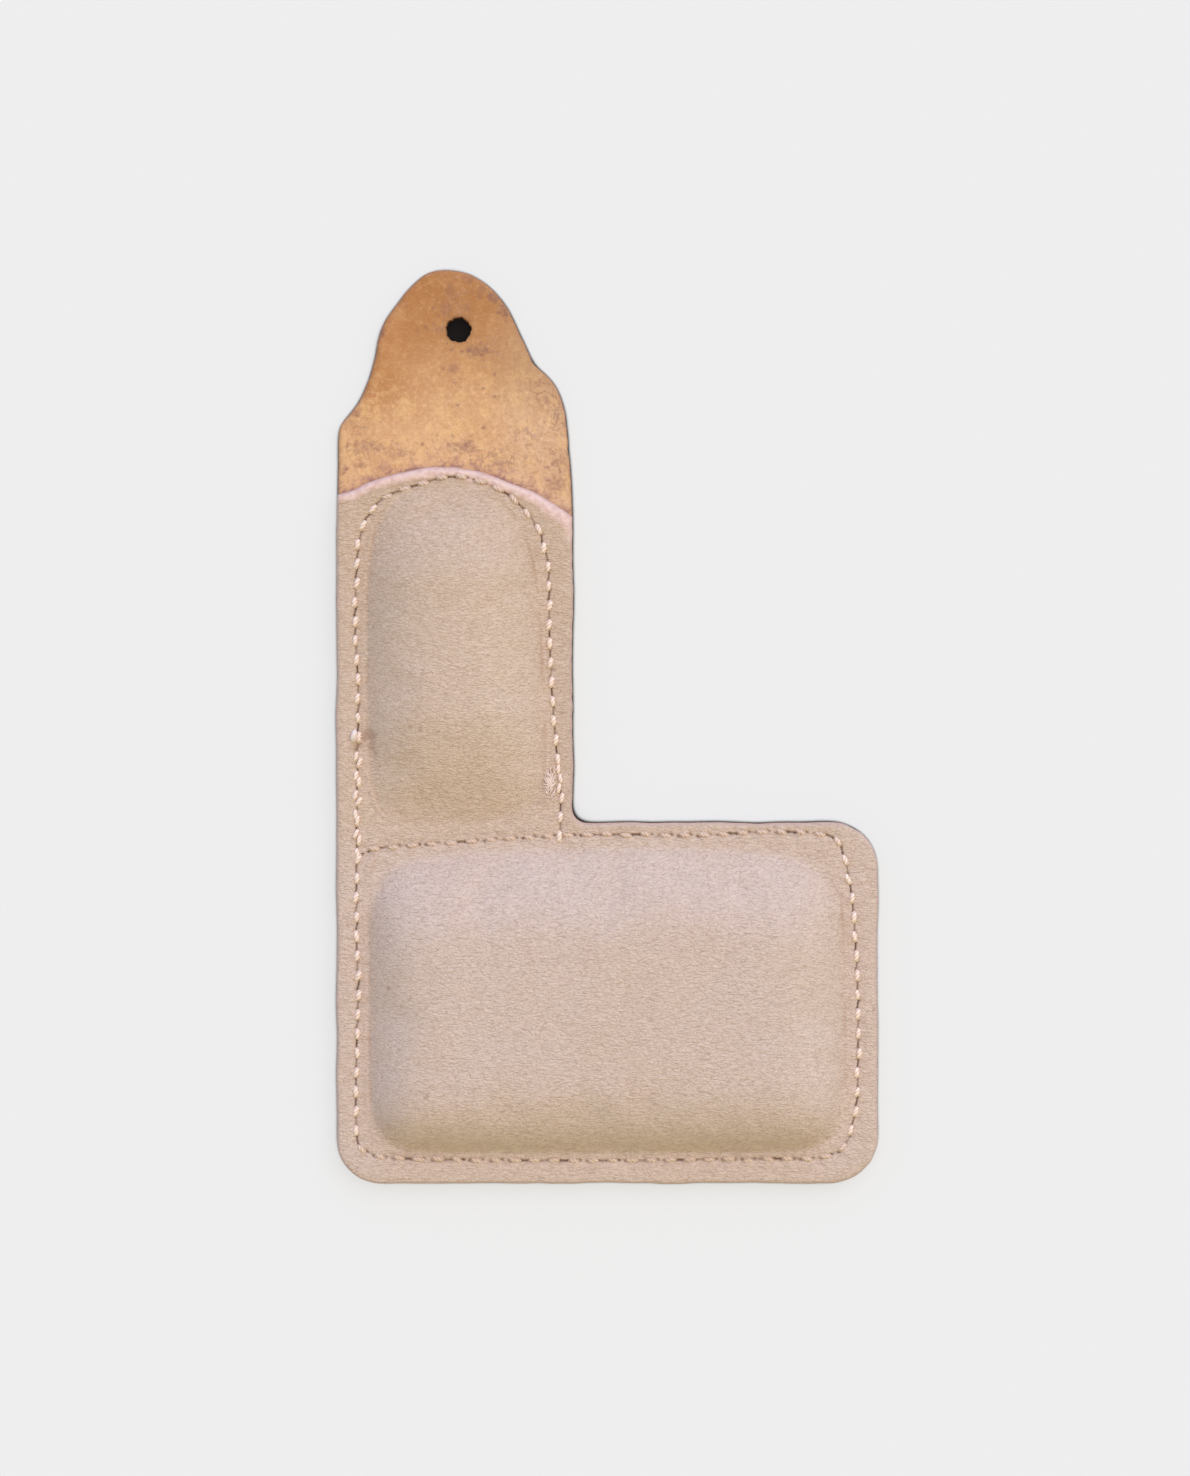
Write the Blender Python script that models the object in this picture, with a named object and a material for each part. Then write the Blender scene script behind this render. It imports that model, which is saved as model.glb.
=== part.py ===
"""A padded leather hand guard: an L of tan leather with a tongue, under a soft cover that is stitched round two pads.

The L lies flat. +X points across it, +Y from the wide palm end to the tongue, +Z out of the padded side. The
origin is the middle of the plan, on the plane that the backing rests on. Two fold lines cross the leather: one at
the root of the narrow arm, the other below the tongue.
"""

import math

import bmesh
import bpy
from mathutils import Vector

MM = 0.001

# Driving dimensions of the plan.
LENGTH = 142.0 * MM
WIDTH = 84.0 * MM
ARM_WIDTH = 36.6 * MM
PALM_LENGTH = 56.0 * MM
CORNER_RADIUS = 7.0 * MM
INNER_RADIUS = 2.0 * MM
HOLE_RADIUS = 2.0 * MM
HOLE_BELOW_TIP = 9.5 * MM
HOLE_FROM_LEFT = 18.9 * MM

# Driving dimensions through the thickness.
BACKING_THICKNESS = 2.0 * MM
COVER_THICKNESS = 1.1 * MM
LAYER_GAP = 0.3 * MM
PALM_RISE = 6.0 * MM
FINGER_RISE = 5.6 * MM
PALM_SHOULDER = 7.0 * MM
FINGER_SHOULDER = 6.0 * MM
CROWN = 0.3 * MM

# The seam: a thread on each face, lying in a groove of its own.
NEEDLE_THREAD_RADIUS = 0.3 * MM
BOBBIN_THREAD_RADIUS = 0.25 * MM
THREAD_GAP = 0.3 * MM
GROOVE_DEPTH = 0.75 * MM
BOBBIN_GROOVE_DEPTH = 0.85 * MM

# The folds: each one turns from flat by these angles.
FINGER_FOLD_TILT = math.radians(5.3)
FINGER_FOLD_UP = math.radians(75.0)
FINGER_FOLD_DOWN = math.radians(60.0)
FINGER_FOLD_BELOW_PALM_TOP = 0.75 * MM
TONGUE_FOLD_BELOW_TIP = 26.7 * MM
TONGUE_FOLD_ANGLE = math.radians(90.0)
FOLD_GAP = 0.15 * MM

# Sides of the plan and levels through the thickness, worked out from the dimensions above.
LEFT = -WIDTH / 2
RIGHT = WIDTH / 2
TIP = LENGTH / 2
HEEL = -LENGTH / 2
ARM_RIGHT = LEFT + ARM_WIDTH
PALM_TOP = HEEL + PALM_LENGTH
COVER_BOTTOM = BACKING_THICKNESS + LAYER_GAP
FLANGE_TOP = COVER_BOTTOM + COVER_THICKNESS
FINGER_FOLD = Vector(
    ((LEFT + ARM_RIGHT) / 2, PALM_TOP - FINGER_FOLD_BELOW_PALM_TOP, FLANGE_TOP / 2)
)
TONGUE_FOLD = Vector(
    ((LEFT + ARM_RIGHT) / 2, TIP - TONGUE_FOLD_BELOW_TIP, BACKING_THICKNESS / 2)
)
REACH = 200.0 * MM
CEILING = 20.0 * MM

# The tongue's edge from the arm's right side, over the tip, to its left side: millimetres from the arm's left
# side, and below the tip.
TONGUE_EDGE = [
    (36.6, 29.5), (36.1, 24.5), (35.1, 19.8), (33.1, 17.1), (30.9, 15.2), (29.7, 12.4), (27.2, 6.8),
    (23.2, 2.3), (17.9, 0.0), (11.4, 2.8), (7.9, 7.8), (5.7, 14.0), (3.5, 19.8), (0.7, 24.5), (0.0, 29.5),
]

# The cover's cut edge across the arm, right to left, in the same measure.
COVER_EDGE = [(36.6, 39.0), (32.4, 35.9), (26.6, 32.9), (17.5, 30.8), (8.5, 31.8), (0.0, 35.0)]

# The seam round the finger pad, from the fold up the left side and down the right, in the same measure.
FINGER_SEAM = [
    (3.2, 86.5), (3.2, 76.0), (3.2, 62.0), (2.9, 52.0), (3.4, 43.0), (5.5, 37.4), (11.3, 34.1), (18.0, 32.5),
    (24.0, 34.0), (29.4, 38.2), (32.4, 43.0), (33.0, 50.0), (33.2, 62.0), (33.9, 72.0), (34.6, 83.5),
]

# The seam round the palm pad, anticlockwise from the arm's left side: millimetres from the left side, and above
# the heel.
PALM_SEAM = [
    (3.4, 50.2), (3.2, 46.0), (3.3, 30.0), (3.1, 12.0), (3.4, 6.6), (7.4, 4.0), (14.0, 3.8), (40.0, 3.7),
    (68.0, 3.8), (75.6, 4.1), (79.6, 7.4), (80.5, 13.0), (80.8, 26.0), (80.3, 41.0), (79.2, 50.0),
    (77.3, 53.4), (73.0, 54.2), (56.0, 54.0), (38.0, 54.2), (26.0, 53.3), (12.0, 52.5), (5.8, 52.0),
]

# The foot of each pad's moulding, anticlockwise from its lower left: the finger's measured as its seam is, the
# palm's as its own seam is.
FINGER_FOOT = [
    (5.4, 82.0), (7.6, 85.3), (19.0, 84.6), (29.6, 83.4), (32.9, 80.0), (32.7, 70.0), (31.7, 55.0), (31.2, 44.0),
    (28.0, 38.3), (23.4, 35.2), (17.6, 34.2), (11.4, 35.6), (7.0, 38.6), (5.0, 44.0), (4.9, 55.0), (5.0, 70.0),
]
PALM_FOOT = [
    (5.5, 12.0), (7.5, 7.2), (12.5, 5.4), (41.0, 5.2), (70.5, 5.4), (76.2, 7.2), (78.3, 12.5), (78.5, 28.0),
    (78.0, 44.0), (76.2, 48.8), (71.0, 50.7), (41.0, 50.9), (12.5, 50.5), (7.3, 48.8), (5.6, 44.0), (5.5, 28.0),
]

PATH_STEPS = 3
CORNER_STEPS = 8
SHOULDER_STEPS = 6
THREAD_SIDES = 8
HOLE_SIDES = 32


def clear_scene():
    for item in list(bpy.data.objects):
        bpy.data.objects.remove(item)


def linear(channel):
    """One 8-bit display value as the linear light value that a shader takes."""
    value = channel / 255.0
    if value <= 0.04045:
        return value / 12.92
    return ((value + 0.055) / 1.055) ** 2.4


def material(name, colour, roughness):
    made = bpy.data.materials.new(name)
    made.use_nodes = True
    shader = made.node_tree.nodes["Principled BSDF"]
    shader.inputs["Base Color"].default_value = (*(linear(c) for c in colour), 1.0)
    shader.inputs["Roughness"].default_value = roughness
    shader.inputs["Metallic"].default_value = 0.0
    return made


def from_tip(points):
    return [Vector((LEFT + x * MM, TIP - y * MM)) for x, y in points]


def from_heel(points):
    return [Vector((LEFT + x * MM, HEEL + y * MM)) for x, y in points]


def through(points, closed=False):
    """A smooth curve through the points, with tangents that allow for uneven spacing."""
    count = len(points)
    spans = count if closed else count - 1
    tangents = []
    for i, here in enumerate(points):
        before = points[i - 1] if closed or i > 0 else here
        after = points[(i + 1) % count] if closed or i < count - 1 else here
        tangents.append((after - before) / ((after - here).length + (here - before).length))
    curve = []
    for i in range(spans):
        start = points[i]
        end = points[(i + 1) % count]
        chord = (end - start).length
        for step in range(PATH_STEPS):
            t = step / PATH_STEPS
            curve.append(
                start * (2 * t**3 - 3 * t**2 + 1)
                + tangents[i] * chord * (t**3 - 2 * t**2 + t)
                + end * (3 * t**2 - 2 * t**3)
                + tangents[(i + 1) % count] * chord * (t**3 - t**2)
            )
    if not closed:
        curve.append(points[-1])
    return curve


def arc(centre, radius, start, end):
    """Points along an arc, from one angle to the other in degrees."""
    points = []
    for step in range(CORNER_STEPS + 1):
        angle = math.radians(start + (end - start) * step / CORNER_STEPS)
        points.append(centre + radius * Vector((math.cos(angle), math.sin(angle))))
    return points


def outline(top_edge):
    """The L anticlockwise: its upper edge from right to left, then down the left side and round the palm."""
    r = CORNER_RADIUS
    inner = Vector((ARM_RIGHT + INNER_RADIUS, PALM_TOP + INNER_RADIUS))
    return (
        through(from_tip(top_edge))
        + arc(Vector((LEFT + r, HEEL + r)), r, 180, 270)
        + arc(Vector((RIGHT - r, HEEL + r)), r, 270, 360)
        + arc(Vector((RIGHT - r, PALM_TOP - r)), r, 0, 90)
        + arc(inner, INNER_RADIUS, 270, 180)
    )


def mesh_object(name, shape):
    bmesh.ops.recalc_face_normals(shape, faces=shape.faces)
    mesh = bpy.data.meshes.new(name)
    shape.to_mesh(mesh)
    shape.free()
    made = bpy.data.objects.new(name, mesh)
    bpy.context.scene.collection.objects.link(made)
    return made


def join_rings(shape, rings, closed=False):
    """Quads between neighbouring rings of vertices, round each ring."""
    pairs = list(zip(rings, rings[1:]))
    if closed:
        pairs.append((rings[-1], rings[0]))
    for lower, upper in pairs:
        for i in range(len(lower)):
            k = (i + 1) % len(lower)
            shape.faces.new((lower[i], lower[k], upper[k], upper[i]))


def plate(name, points, bottom, top):
    """A flat plate of the given outline."""
    shape = bmesh.new()
    rings = [[shape.verts.new((p.x, p.y, z)) for p in points] for z in (bottom, top)]
    shape.faces.new(reversed(rings[0]))
    shape.faces.new(rings[1])
    join_rings(shape, rings)
    return mesh_object(name, shape)


def sweep(name, path, section, level, closed=False):
    """A section of (across, up) points carried along a level path."""
    shape = bmesh.new()
    rings = []
    last = len(path) - 1
    for i, here in enumerate(path):
        before = path[i - 1] if closed or i > 0 else here
        after = path[(i + 1) % len(path)] if closed or i < last else here
        along = (after - before).normalized()
        across = Vector((-along.y, along.x))
        ring = []
        for out, up in section:
            spot = here + across * out
            ring.append(shape.verts.new((spot.x, spot.y, level + up)))
        rings.append(ring)
    join_rings(shape, rings, closed)
    if not closed:
        shape.faces.new(rings[0])
        shape.faces.new(rings[-1])
    return mesh_object(name, shape)


def round_section(radius):
    turns = [math.tau * i / THREAD_SIDES for i in range(THREAD_SIDES)]
    return [(radius * math.cos(a), radius * math.sin(a)) for a in turns]


def box_section(half_width, bottom, top):
    return [(-half_width, bottom), (half_width, bottom), (half_width, top), (-half_width, top)]


def dome(name, foot, inset, base, floor, rise, shoulder):
    """A crowned pad: straight from base up to floor, then a rounded shoulder of the given rise and width.

    The foot is first drawn in by inset on every side.
    """
    low = Vector((min(p.x for p in foot), min(p.y for p in foot)))
    high = Vector((max(p.x for p in foot), max(p.y for p in foot)))
    centre = (low + high) / 2
    half = (high - low) / 2
    levels = [(0.0, base), (0.0, floor)]
    for step in range(1, SHOULDER_STEPS + 1):
        angle = math.pi / 2 * step / SHOULDER_STEPS
        levels.append((shoulder * (1 - math.cos(angle)), floor + rise * math.sin(angle)))
    shape = bmesh.new()
    rings = []
    for drawn, level in levels:
        scale_x = (half.x - inset - drawn) / half.x
        scale_y = (half.y - inset - drawn) / half.y
        ring = []
        for p in foot:
            x = centre.x + (p.x - centre.x) * scale_x
            y = centre.y + (p.y - centre.y) * scale_y
            ring.append(shape.verts.new((x, y, level)))
        rings.append(ring)
    join_rings(shape, rings)
    shape.faces.new(reversed(rings[0]))
    top = shape.verts.new((centre.x, centre.y, floor + rise + CROWN))
    for i, corner in enumerate(rings[-1]):
        shape.faces.new((corner, rings[-1][(i + 1) % len(foot)], top))
    return mesh_object(name, shape)


def side_of_fold(name, pivot, tilt, side, up, down, top):
    """The space on one side of a fold line, narrowed above and below the pivot so that the fold can turn.

    side is 1 for the space beyond the line, towards +Y, and -1 for the space before it. Above top, the space
    isn't narrowed further.
    """
    up_slope = math.tan(up / 2)
    down_slope = math.tan(down / 2)
    near_top = FOLD_GAP + (top - pivot.z) * up_slope
    floor = -CEILING
    profile = [
        (FOLD_GAP, pivot.z),
        (near_top, top),
        (near_top, CEILING),
        (REACH, CEILING),
        (REACH, floor),
        (FOLD_GAP + (pivot.z - floor) * down_slope, floor),
    ]
    along = Vector((math.cos(tilt), math.sin(tilt)))
    across = Vector((-along.y, along.x)) * side
    shape = bmesh.new()
    rings = []
    for end in (-REACH, REACH):
        ring = []
        for away, level in profile:
            spot = pivot.xy + along * end + across * away
            ring.append(shape.verts.new((spot.x, spot.y, level)))
        rings.append(ring)
    join_rings(shape, rings)
    shape.faces.new(rings[0])
    shape.faces.new(rings[1])
    return as_cutter(mesh_object(name, shape))


def as_cutter(item):
    item.hide_render = True
    item.display_type = "WIRE"
    return item


def combine(item, operation, other):
    step = item.modifiers.new(f"{operation.lower()} {other.name}", "BOOLEAN")
    step.operation = operation
    step.object = other
    step.solver = "EXACT"


def hinge_empty(name, place):
    made = bpy.data.objects.new(name, None)
    made.location = place
    bpy.context.scene.collection.objects.link(made)
    return made


def finish(item, parent, finish_material):
    """Gives a piece its material and hangs it on the empty that its fold turns about."""
    item.data.materials.append(finish_material)
    item.parent = parent
    item.location = -parent.location


def seam_groove(name, path, half_width, bottom, top, closed):
    return as_cutter(sweep(name, path, box_section(half_width, bottom, top), 0.0, closed))


def build_backing(parents, leather, keep, seams):
    """The tan leather: palm, finger and tongue, grooved below for the bobbin thread."""
    cutters = {
        name: seam_groove(
            f"{name}_bobbin_groove",
            path,
            BOBBIN_THREAD_RADIUS + THREAD_GAP,
            -BACKING_THICKNESS,
            BOBBIN_GROOVE_DEPTH,
            closed,
        )
        for name, (path, closed) in seams.items()
    }
    for name, fences in (
        ("palm_backing", [keep["palm"]]),
        ("finger_backing", [keep["finger"], keep["below_tongue"]]),
        ("tongue", [keep["tongue"]]),
    ):
        piece = plate(name, outline(TONGUE_EDGE), 0.0, BACKING_THICKNESS)
        for fence in fences:
            combine(piece, "INTERSECT", fence)
        body = name.split("_")[0]
        if body in cutters:
            combine(piece, "DIFFERENCE", cutters[body])
        else:
            combine(piece, "DIFFERENCE", tongue_hole())
        finish(piece, parents[body], leather)


def tongue_hole():
    turns = [math.tau * i / HOLE_SIDES for i in range(HOLE_SIDES)]
    centre = Vector((LEFT + HOLE_FROM_LEFT, TIP - HOLE_BELOW_TIP))
    ring = [centre + HOLE_RADIUS * Vector((math.cos(a), math.sin(a))) for a in turns]
    return as_cutter(plate("tongue_hole", ring, -BACKING_THICKNESS, 2 * BACKING_THICKNESS))


def build_pad(body, foot, rise, shoulder, fence, seam, parent, leather, stuffing):
    """One half of the cover with the filler inside its moulding."""
    path, closed = seam
    cover = plate(f"{body}_cover", outline(COVER_EDGE), COVER_BOTTOM, FLANGE_TOP)
    middle = (COVER_BOTTOM + FLANGE_TOP) / 2
    outside = dome(f"{body}_moulding", foot, 0.0, middle, FLANGE_TOP, rise, shoulder)
    cavity_rise = rise - LAYER_GAP
    cavity = dome(
        f"{body}_cavity", foot, COVER_THICKNESS, 0.0, COVER_BOTTOM + LAYER_GAP, cavity_rise, shoulder
    )
    groove = seam_groove(
        f"{body}_needle_groove",
        path,
        NEEDLE_THREAD_RADIUS + THREAD_GAP,
        FLANGE_TOP - GROOVE_DEPTH,
        CEILING,
        closed,
    )
    combine(cover, "UNION", as_cutter(outside))
    combine(cover, "DIFFERENCE", as_cutter(cavity))
    combine(cover, "INTERSECT", fence)
    combine(cover, "DIFFERENCE", groove)
    finish(cover, parent, leather)

    filler = dome(
        f"{body}_filler",
        foot,
        COVER_THICKNESS + LAYER_GAP,
        COVER_BOTTOM,
        COVER_BOTTOM + LAYER_GAP,
        cavity_rise - LAYER_GAP,
        shoulder,
    )
    finish(filler, parent, stuffing)


def build_threads(body, seam, parent, thread):
    """The needle thread on the front and the bobbin thread on the back of one seam."""
    path, closed = seam
    needle_level = FLANGE_TOP - GROOVE_DEPTH + THREAD_GAP + NEEDLE_THREAD_RADIUS
    bobbin_level = BOBBIN_GROOVE_DEPTH - THREAD_GAP - BOBBIN_THREAD_RADIUS
    for kind, radius, level in (
        ("needle", NEEDLE_THREAD_RADIUS, needle_level),
        ("bobbin", BOBBIN_THREAD_RADIUS, bobbin_level),
    ):
        piece = sweep(f"{body}_seam_{kind}_thread", path, round_section(radius), level, closed)
        for face in piece.data.polygons:
            face.use_smooth = len(face.vertices) == 4
        finish(piece, parent, thread)


def build():
    clear_scene()
    tan_leather = material("tan_leather", (214, 164, 118), 0.75)
    cover_leather = material("cover_leather", (209, 184, 167), 0.55)
    felt = material("filler_felt", (205, 200, 190), 0.95)
    thread = material("seam_thread", (232, 205, 190), 0.6)

    parents = {
        "palm": hinge_empty("palm_body", Vector((0.0, 0.0, 0.0))),
        "finger": hinge_empty("finger_fold_line", FINGER_FOLD),
        "tongue": hinge_empty("tongue_fold_line", TONGUE_FOLD),
    }
    finger_fold = (FINGER_FOLD, FINGER_FOLD_TILT)
    finger_turn = (FINGER_FOLD_UP, FINGER_FOLD_DOWN, FLANGE_TOP)
    tongue_turn = (TONGUE_FOLD_ANGLE, TONGUE_FOLD_ANGLE, BACKING_THICKNESS)
    keep = {
        "palm": side_of_fold("palm_side", *finger_fold, -1, *finger_turn),
        "finger": side_of_fold("finger_side", *finger_fold, 1, *finger_turn),
        "below_tongue": side_of_fold("below_tongue_fold", TONGUE_FOLD, 0.0, -1, *tongue_turn),
        "tongue": side_of_fold("tongue_side", TONGUE_FOLD, 0.0, 1, *tongue_turn),
    }
    seams = {
        "palm": (through(from_heel(PALM_SEAM), closed=True), True),
        "finger": (through(from_tip(FINGER_SEAM)), False),
    }
    build_backing(parents, tan_leather, keep, seams)
    palm_foot = through(from_heel(PALM_FOOT), closed=True)
    finger_foot = through(from_tip(FINGER_FOOT), closed=True)
    for body, foot, rise, shoulder in (
        ("palm", palm_foot, PALM_RISE, PALM_SHOULDER),
        ("finger", finger_foot, FINGER_RISE, FINGER_SHOULDER),
    ):
        build_pad(
            body, foot, rise, shoulder, keep[body], seams[body], parents[body], cover_leather, felt
        )
        build_threads(body, seams[body], parents[body], thread)


build()
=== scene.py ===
import math

import bpy
import numpy as np
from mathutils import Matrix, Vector
from mathutils.geometry import delaunay_2d_cdt
from mathutils.kdtree import KDTree


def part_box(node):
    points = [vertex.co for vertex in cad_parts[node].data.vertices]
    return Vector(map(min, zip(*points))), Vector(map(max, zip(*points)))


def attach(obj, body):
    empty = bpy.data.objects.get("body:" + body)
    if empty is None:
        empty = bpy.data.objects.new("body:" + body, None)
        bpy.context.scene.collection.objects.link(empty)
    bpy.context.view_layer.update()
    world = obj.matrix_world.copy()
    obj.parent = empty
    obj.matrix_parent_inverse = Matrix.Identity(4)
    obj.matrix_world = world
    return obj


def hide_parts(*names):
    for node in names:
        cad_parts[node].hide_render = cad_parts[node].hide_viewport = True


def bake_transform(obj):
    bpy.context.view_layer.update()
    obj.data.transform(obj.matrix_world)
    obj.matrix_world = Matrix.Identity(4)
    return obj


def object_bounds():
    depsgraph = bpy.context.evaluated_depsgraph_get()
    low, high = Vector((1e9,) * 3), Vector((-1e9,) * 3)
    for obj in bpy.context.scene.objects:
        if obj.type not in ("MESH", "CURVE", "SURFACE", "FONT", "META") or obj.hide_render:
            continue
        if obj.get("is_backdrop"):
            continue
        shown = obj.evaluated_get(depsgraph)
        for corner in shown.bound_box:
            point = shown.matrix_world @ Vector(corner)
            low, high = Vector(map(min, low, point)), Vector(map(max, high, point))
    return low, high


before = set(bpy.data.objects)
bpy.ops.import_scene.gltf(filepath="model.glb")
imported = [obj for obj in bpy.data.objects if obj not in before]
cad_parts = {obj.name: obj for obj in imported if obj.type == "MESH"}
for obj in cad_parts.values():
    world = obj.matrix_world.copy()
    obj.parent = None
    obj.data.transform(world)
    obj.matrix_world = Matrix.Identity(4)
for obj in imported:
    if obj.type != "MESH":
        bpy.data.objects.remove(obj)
CAD_LOW, CAD_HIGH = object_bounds()

# Plan sizes, in millimetres in the frame's own axes. The backing's two meshes meet at SPLIT.
MM = 0.001
LEFT, HEEL = CAD_LOW.x / MM, CAD_LOW.y / MM
RIGHT, TIP = CAD_HIGH.x / MM, CAD_HIGH.y / MM
ARM_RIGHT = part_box("finger_cover")[1].x / MM
PALM_TOP = HEEL + 56.0
SPLIT = HEEL + 84.0
CORNER_RADII = {"heel_left": 6.8, "heel_right": 7.4, "top_right": 7.0, "inner": 2.0}
HOLE = np.array((LEFT + 18.9, TIP - 9.5))
HOLE_RADIUS = 2.0

# Levels through the thickness. The palm's pad leaves room for what the cloth pass adds.
GLUE = 0.06
CAD_COVER_THICKNESS = 1.1
COVER_THICKNESS = 1.15
CLOTH_ROOM = 0.2
BACKING_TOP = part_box("tongue")[1].z / MM
COVER_UNDER = BACKING_TOP + GLUE
FLANGE_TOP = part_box("palm_cover")[0].z / MM + CAD_COVER_THICKNESS
PALM_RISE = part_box("palm_cover")[1].z / MM - FLANGE_TOP - CLOTH_ROOM
FINGER_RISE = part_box("finger_cover")[1].z / MM - FLANGE_TOP
SKIVE_WIDTH = 1.55
SKIVED_THICKNESS = 0.35
RIM_ROUND = 0.5

# Outlines and seams. The palm's run from the left side and the heel, and all others from the left side
# and the tip downward.
TONGUE_EDGE = [
    (36.6, 38.0), (36.4, 33.5), (36.1, 29.1), (35.7, 24.6), (35.1, 21.2), (34.4, 18.9), (33.5, 17.5),
    (32.3, 16.3), (31.0, 15.3), (30.3, 14.5), (29.9, 13.3), (28.5, 10.2), (26.4, 5.9), (23.7, 2.9),
    (20.4, 0.7), (17.4, 0.0), (15.2, 0.2), (13.2, 1.1), (10.6, 3.5), (7.9, 7.2), (6.5, 10.2), (6.0, 12.9),
    (5.2, 16.1), (3.5, 20.3), (1.9, 22.6), (0.9, 23.9), (0.45, 24.9), (0.25, 28.0), (0.0, 34.0),
]
COVER_EDGE = [
    (36.6, 38.6), (35.2, 37.4), (32.6, 35.9), (29.4, 34.2), (26.0, 32.8), (21.6, 31.4), (17.2, 30.8),
    (12.4, 31.1), (8.6, 31.9), (5.2, 33.1), (2.6, 34.2), (0.0, 35.0),
]
FINGER_SEAM = [
    (3.3, 90.8), (3.2, 87.0), (3.3, 76.0), (3.4, 66.0), (3.0, 58.0), (2.9, 54.0), (3.4, 43.2),
    (4.4, 39.6), (5.6, 37.4), (7.1, 35.9), (9.3, 34.8), (12.6, 33.7), (17.0, 32.5), (20.2, 32.6),
    (23.4, 33.6), (26.0, 34.8), (28.2, 36.6), (30.4, 39.2), (31.9, 42.2), (32.8, 46.4), (33.0, 56.0),
    (33.3, 64.0), (34.0, 73.6), (34.7, 81.0), (34.7, 88.2),
]
PALM_SEAM = [
    (3.4, 50.3), (3.1, 47.0), (3.2, 35.0), (3.4, 31.0), (3.1, 19.0), (3.1, 8.6), (3.5, 6.0), (5.2, 4.7),
    (7.6, 4.1), (14.0, 3.8), (40.0, 3.6), (68.0, 3.9), (75.0, 4.0), (77.6, 4.9), (79.2, 6.6), (80.0, 9.4),
    (80.7, 13.6), (80.8, 28.0), (80.5, 36.0), (80.1, 42.0), (79.5, 47.0), (78.4, 51.6), (77.0, 53.6),
    (74.6, 54.3), (66.0, 54.5), (56.0, 54.0), (46.0, 54.1), (36.4, 54.0), (30.0, 53.7), (22.6, 53.2),
    (13.8, 52.6), (8.6, 52.2), (5.4, 51.7),
]
FINGER_FOOT = [
    (5.2, 73.2), (5.9, 80.6), (7.8, 84.6), (13.0, 86.2), (22.0, 86.0), (29.0, 84.8), (31.6, 81.6),
    (32.1, 74.0), (31.8, 65.4), (31.2, 53.6), (30.0, 45.0), (27.8, 39.4), (24.4, 35.6), (18.0, 33.7),
    (11.9, 34.4), (8.4, 36.4), (6.4, 40.0), (5.3, 46.0), (4.9, 53.0), (4.9, 64.0),
]
PALM_FOOT = [
    (5.5, 11.6), (6.4, 8.0), (8.8, 5.9), (12.6, 5.2), (41.0, 5.0), (70.5, 5.3), (75.0, 6.1), (77.6, 8.6),
    (78.5, 12.6), (78.5, 28.0), (78.0, 44.0), (77.0, 48.4), (74.4, 51.0), (69.0, 51.6), (41.0, 51.8),
    (12.0, 51.4), (7.6, 50.9), (5.7, 49.2), (5.2, 44.0), (5.3, 28.0),
]

# The seam: its two ends, how far apart the stitches are, and how long a stretch of each thread shows.
KNOT = np.array((LEFT + 2.8, TIP - 72.6))
FRAYED_END = np.array((LEFT + 33.1, TIP - 80.3))
FRAYED_FIBRES = 110
PITCH = 3.0
THREAD_RADIUS = 0.40
SHOWN = 1.5
BOBBIN_SHOWN = 2.6
BOBBIN_RADIUS = 0.28

# Mesh steps.
PATH_STEP = 0.1
COVER_STEP = 0.62
BACKING_STEP = 1.0


def from_tip(points):
    return [(LEFT + x, TIP - y) for x, y in points]


def from_heel(points):
    return [(LEFT + x, HEEL + y) for x, y in points]


def smooth(value, low, high):
    """0 below low, 1 above high, and a smooth rise between them."""
    t = np.clip((value - low) / (high - low), 0.0, 1.0)
    return t * t * (3.0 - 2.0 * t)


def bell(value, width):
    return np.exp(-((value / width) ** 2))


def unit(vectors):
    return vectors / np.linalg.norm(vectors, axis=1)[:, None]


def ways(turns):
    """Steps of length 1 in the plan, at the given angles."""
    return np.column_stack((np.cos(turns), np.sin(turns)))


def leftward(along):
    """One or more directions in the plan, turned a quarter to their left."""
    return np.stack((-along[..., 1], along[..., 0]), axis=-1)


def neighbours(points, closed):
    """The point before and the point after each one. Beyond an open end it is the end itself."""
    before = np.roll(points, 1, axis=0)
    after = np.roll(points, -1, axis=0)
    if not closed:
        before[0] = points[0]
        after[-1] = points[-1]
    return before, after


def runs(line):
    """How far along a line of points each of them is."""
    return np.concatenate(([0.0], np.cumsum(np.linalg.norm(np.diff(line, axis=0), axis=1))))


def tree_of(points):
    tree = KDTree(len(points))
    for i, (x, y) in enumerate(points):
        tree.insert((x, y, 0.0), i)
    tree.balance()
    return tree


def link(name, data):
    made = bpy.data.objects.new(name, data)
    bpy.context.scene.collection.objects.link(made)
    return made


def ripple(places, wavelength, seed, waves=14):
    """A smooth random field over the plan, of about the given wavelength and mostly between -1 and 1."""
    draw = np.random.default_rng(seed)
    total = np.zeros(len(places))
    for _ in range(waves):
        angle = draw.uniform(0.0, math.tau)
        rate = math.tau / wavelength * draw.uniform(0.6, 1.5)
        phase = draw.uniform(0.0, math.tau)
        along = places[:, 0] * math.cos(angle) + places[:, 1] * math.sin(angle)
        total += np.sin(along * rate + phase)
    return total / math.sqrt(waves)


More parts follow.
